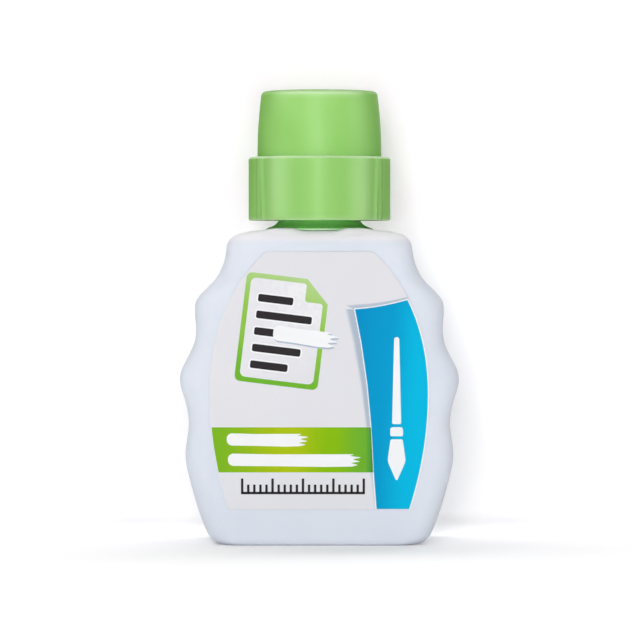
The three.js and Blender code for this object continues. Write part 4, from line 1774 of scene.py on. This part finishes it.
@dataclass(frozen=True)
class Softbox:
    """A rectangular lamp: its name, place and size in metres, and power in watts."""

    name: str
    place: Spot
    wide: float
    tall: float
    power: float

    def hang(self, target: Vector) -> None:
        """Hangs the lamp in the scene, turned to a target."""
        lamp = bpy.data.lights.new(self.name, "AREA")
        lamp.shape, lamp.energy = "RECTANGLE", self.power
        lamp.size, lamp.size_y = self.wide, self.tall
        turn_to(show(self.name, lamp), Vector(self.place), target)


@dataclass
class Studio:
    """The pale floor and backdrop card, the soft lamps and the camera."""

    eye_distance: float = 567.0
    eye_height: float = 49.6
    aim_height: float = 36.98
    aside: float = 0.1
    frame_width: float = 107.17
    sensor: float = 36.0
    card_depth: float = 12.6
    cove: float = 4.0
    cove_shade: float = -0.42
    ambient: float = 0.17
    gloss_front: float = 4.8
    gloss_back: float = 0.06
    floor_lift: float = 0.2
    card_lift: float = 0.28
    floor_tone: float = 0.92
    card_tone: float = 0.76
    paper_grain: Spot = (900.0, -0.005, 0.005)
    card_half_width: float = 62.0
    card_height: float = 190.0
    card_green_cancel: Spot = (48.0, 56.0, 0.92)
    floor_fade: Spot = (30.0, 420.0, 1.0)
    card_fade: Spot = (31.0, 46.0, 0.14)
    card_fade_lean: float = 0.35
    card_fade_height: float = 74.0
    floor_reach: float = 1600.0
    lamp_aim: float = 40.0
    lamps: tuple[Softbox, ...] = (
        Softbox("front_softbox", (-0.13, -0.82, 0.4), 0.34, 0.34, 2.4),
        Softbox("low_front_strip", (-0.04, -0.88, 0.06), 0.4, 0.15, 2.1),
        Softbox("top_softbox", (-0.03, 0.22, 0.55), 1.1, 0.25, 3.2),
        Softbox("rear_edge", (0.3, 0.6, 0.2), 0.2, 0.2, 0.15),
        Softbox("rear_softbox", (0.0, 0.9, 0.35), 0.6, 0.5, 0.8),
        Softbox("left_fill", (-0.8, -0.2, 0.25), 0.5, 0.5, 0.32),
        Softbox("right_fill", (0.8, -0.2, 0.25), 0.5, 0.5, 0.5))

    def build(self) -> None:
        """Sets the stage, lights it and places the camera."""
        self.build_world()
        self.build_stage()
        for lamp in self.lamps:
            lamp.hang(Vector((0.0, 0.0, self.lamp_aim * MM)))
        self.build_camera()
        bpy.context.scene.view_settings.view_transform = "Standard"

    def build_world(self) -> None:
        """Makes a world that shows white, and that glossy surfaces see bright only in front."""
        world = bpy.context.scene.world = bpy.data.worlds.new("studio_white")
        board = Board.shading(world)
        rays = board.add("ShaderNodeLightPath").outputs
        seen = board.compute("MAXIMUM", rays["Is Camera Ray"], rays["Is Transmission Ray"])
        way = board.axes(board.add("ShaderNodeTexCoord").outputs["Generated"])
        sheen = board.product(board.spread(way["Y"], -0.45, 0.6, self.gloss_front, self.gloss_back),
                              board.spread(way["Z"], 0.3, 0.85, 1.0, 0.1))
        dim = board.blend_values(rays["Is Glossy Ray"], self.ambient, sheen)
        strength = board.compute("MAXIMUM", seen, dim)
        light = board.result("ShaderNodeBackground", (1.0, 1.0, 1.0, 1.0), strength)
        board.add("ShaderNodeOutputWorld", light)

    def paper(self, name: str, one_sided: bool) -> bpy.types.Material:
        """Makes white paper that keeps shadows and shows white further out.

        Args:
            name: The material's name.
            one_sided: Whether it is there for the camera alone, and only from the front.

        Returns:
            The material.
        """
        made = bpy.data.materials.new(name)
        board = Board.shading(made)
        camera = board.add("ShaderNodeLightPath").outputs["Is Camera Ray"]
        place = board.coordinates()
        axes = board.axes(place)
        height = axes["Z"]
        rise = board.spread(height, 0.0, self.cove * MM)
        fineness, *speckle = self.paper_grain
        fall = board.compute("SUBTRACT", 1.0, rise)
        # Tone of the paper; the cove is darkened in its middle, painted shade that evens out the
        # brighter light its curve catches.
        tone = board.total(board.blend_values(rise, self.floor_tone, self.card_tone),
                           board.product(rise, fall, self.cove_shade),
                           board.full(board.noise(place, fineness, 2.0), *speckle))
        # The card's tone loses some green above the cap's foot, which paints out the green light
        # that the cap throws onto it.
        low, high, share = self.card_green_cancel
        green = board.product(tone, board.spread(height, low * MM, high * MM, 0.99, share))
        matt = board.result("ShaderNodeBsdfDiffuse",
                            board.result("ShaderNodeCombineColor", tone, green, tone))
        start, end, gain = self.card_fade if one_sided else self.floor_fade
        if one_sided:
            lean = board.product(height, self.card_fade_lean)
            aside = board.total(board.compute("ABSOLUTE", axes["X"]), lean)
            past = board.spread(aside, start * MM, end * MM, 0.0, gain)
            start, end = self.card_fade_height, self.card_fade_height + 10
            above = board.spread(height, start * MM, end * MM, 0.0, gain)
            fade = board.compute("MAXIMUM", past, above)
        else:
            away = board.add("ShaderNodeVectorMath", place, operation="LENGTH").outputs["Value"]
            fade = board.spread(away, start * MM, end * MM, 0.0, gain)
        lift = board.total(board.blend_values(rise, self.floor_lift, self.card_lift), fade)
        glow = board.result("ShaderNodeEmission", (1.0, 1.0, 1.0, 1.0), board.product(camera, lift))
        surface = board.result("ShaderNodeAddShader", matt, glow)
        if one_sided:
            back = board.add("ShaderNodeNewGeometry").outputs["Backfacing"]
            hidden = board.compute("MAXIMUM", back, board.compute("SUBTRACT", 1.0, camera))
            clear = board.result("ShaderNodeBsdfTransparent")
            surface = board.result("ShaderNodeMixShader", hidden, surface, clear)
        board.add("ShaderNodeOutputMaterial", surface)
        return made

    def build_stage(self) -> None:
        """Makes the floor, and a sweep just behind the bottle that takes its soft shadow."""
        far = self.floor_reach
        foot = (self.card_depth - self.cove, self.cove + 0.02)
        sweep = [*arc(foot, self.cove, self.cove, -90, 0, 16), (self.card_depth, self.card_height)]
        for name, line, wide in (("floor", [(-far, 0.0), (far, 0.0)], far),
                                 ("sweep", sweep, self.card_half_width)):
            points = [(x * MM, y * MM, z * MM) for y, z in line for x in (-wide, wide)]
            faces = [(n, n + 1, n + 3, n + 2) for n in range(0, len(points) - 2, 2)]
            mesh = bpy.data.meshes.new("studio_" + name)
            mesh.from_pydata(points, [], faces)
            mesh.materials.append(self.paper(f"studio_{name}_paper", name == "sweep"))
            mesh.shade_smooth()
            show("studio_" + name, mesh)

    def build_camera(self) -> None:
        """Places the camera in front, a little above the bottle's middle."""
        lens = bpy.data.cameras.new("front_camera")
        eye = Vector((self.aside, -self.eye_distance, self.eye_height)) * MM
        aim = Vector((self.aside, 0.0, self.aim_height)) * MM
        lens.sensor_width = self.sensor
        lens.lens = self.sensor * (aim - eye).length / MM / self.frame_width
        lens.clip_start, lens.clip_end = 0.05, 20.0
        camera = bpy.context.scene.camera = show("front_camera", lens)
        turn_to(camera, eye, aim)


def main() -> None:
    """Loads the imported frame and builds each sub-assembly on it."""
    logging.basicConfig(level=logging.INFO, format="%(message)s")
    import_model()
    label, shell, brush = PrintedLabel(), CapShell(), Brush()
    for build in (Studio().build, BottleBody().build, label.build_front, label.build_back,
                  NeckWiper().build, SealLiner().build, InnerCap().build, shell.build,
                  shell.build_ribs, brush.build_stem, brush.build_tuft, brush.build_wire):
        build()


if __name__ == "__main__":
    main()
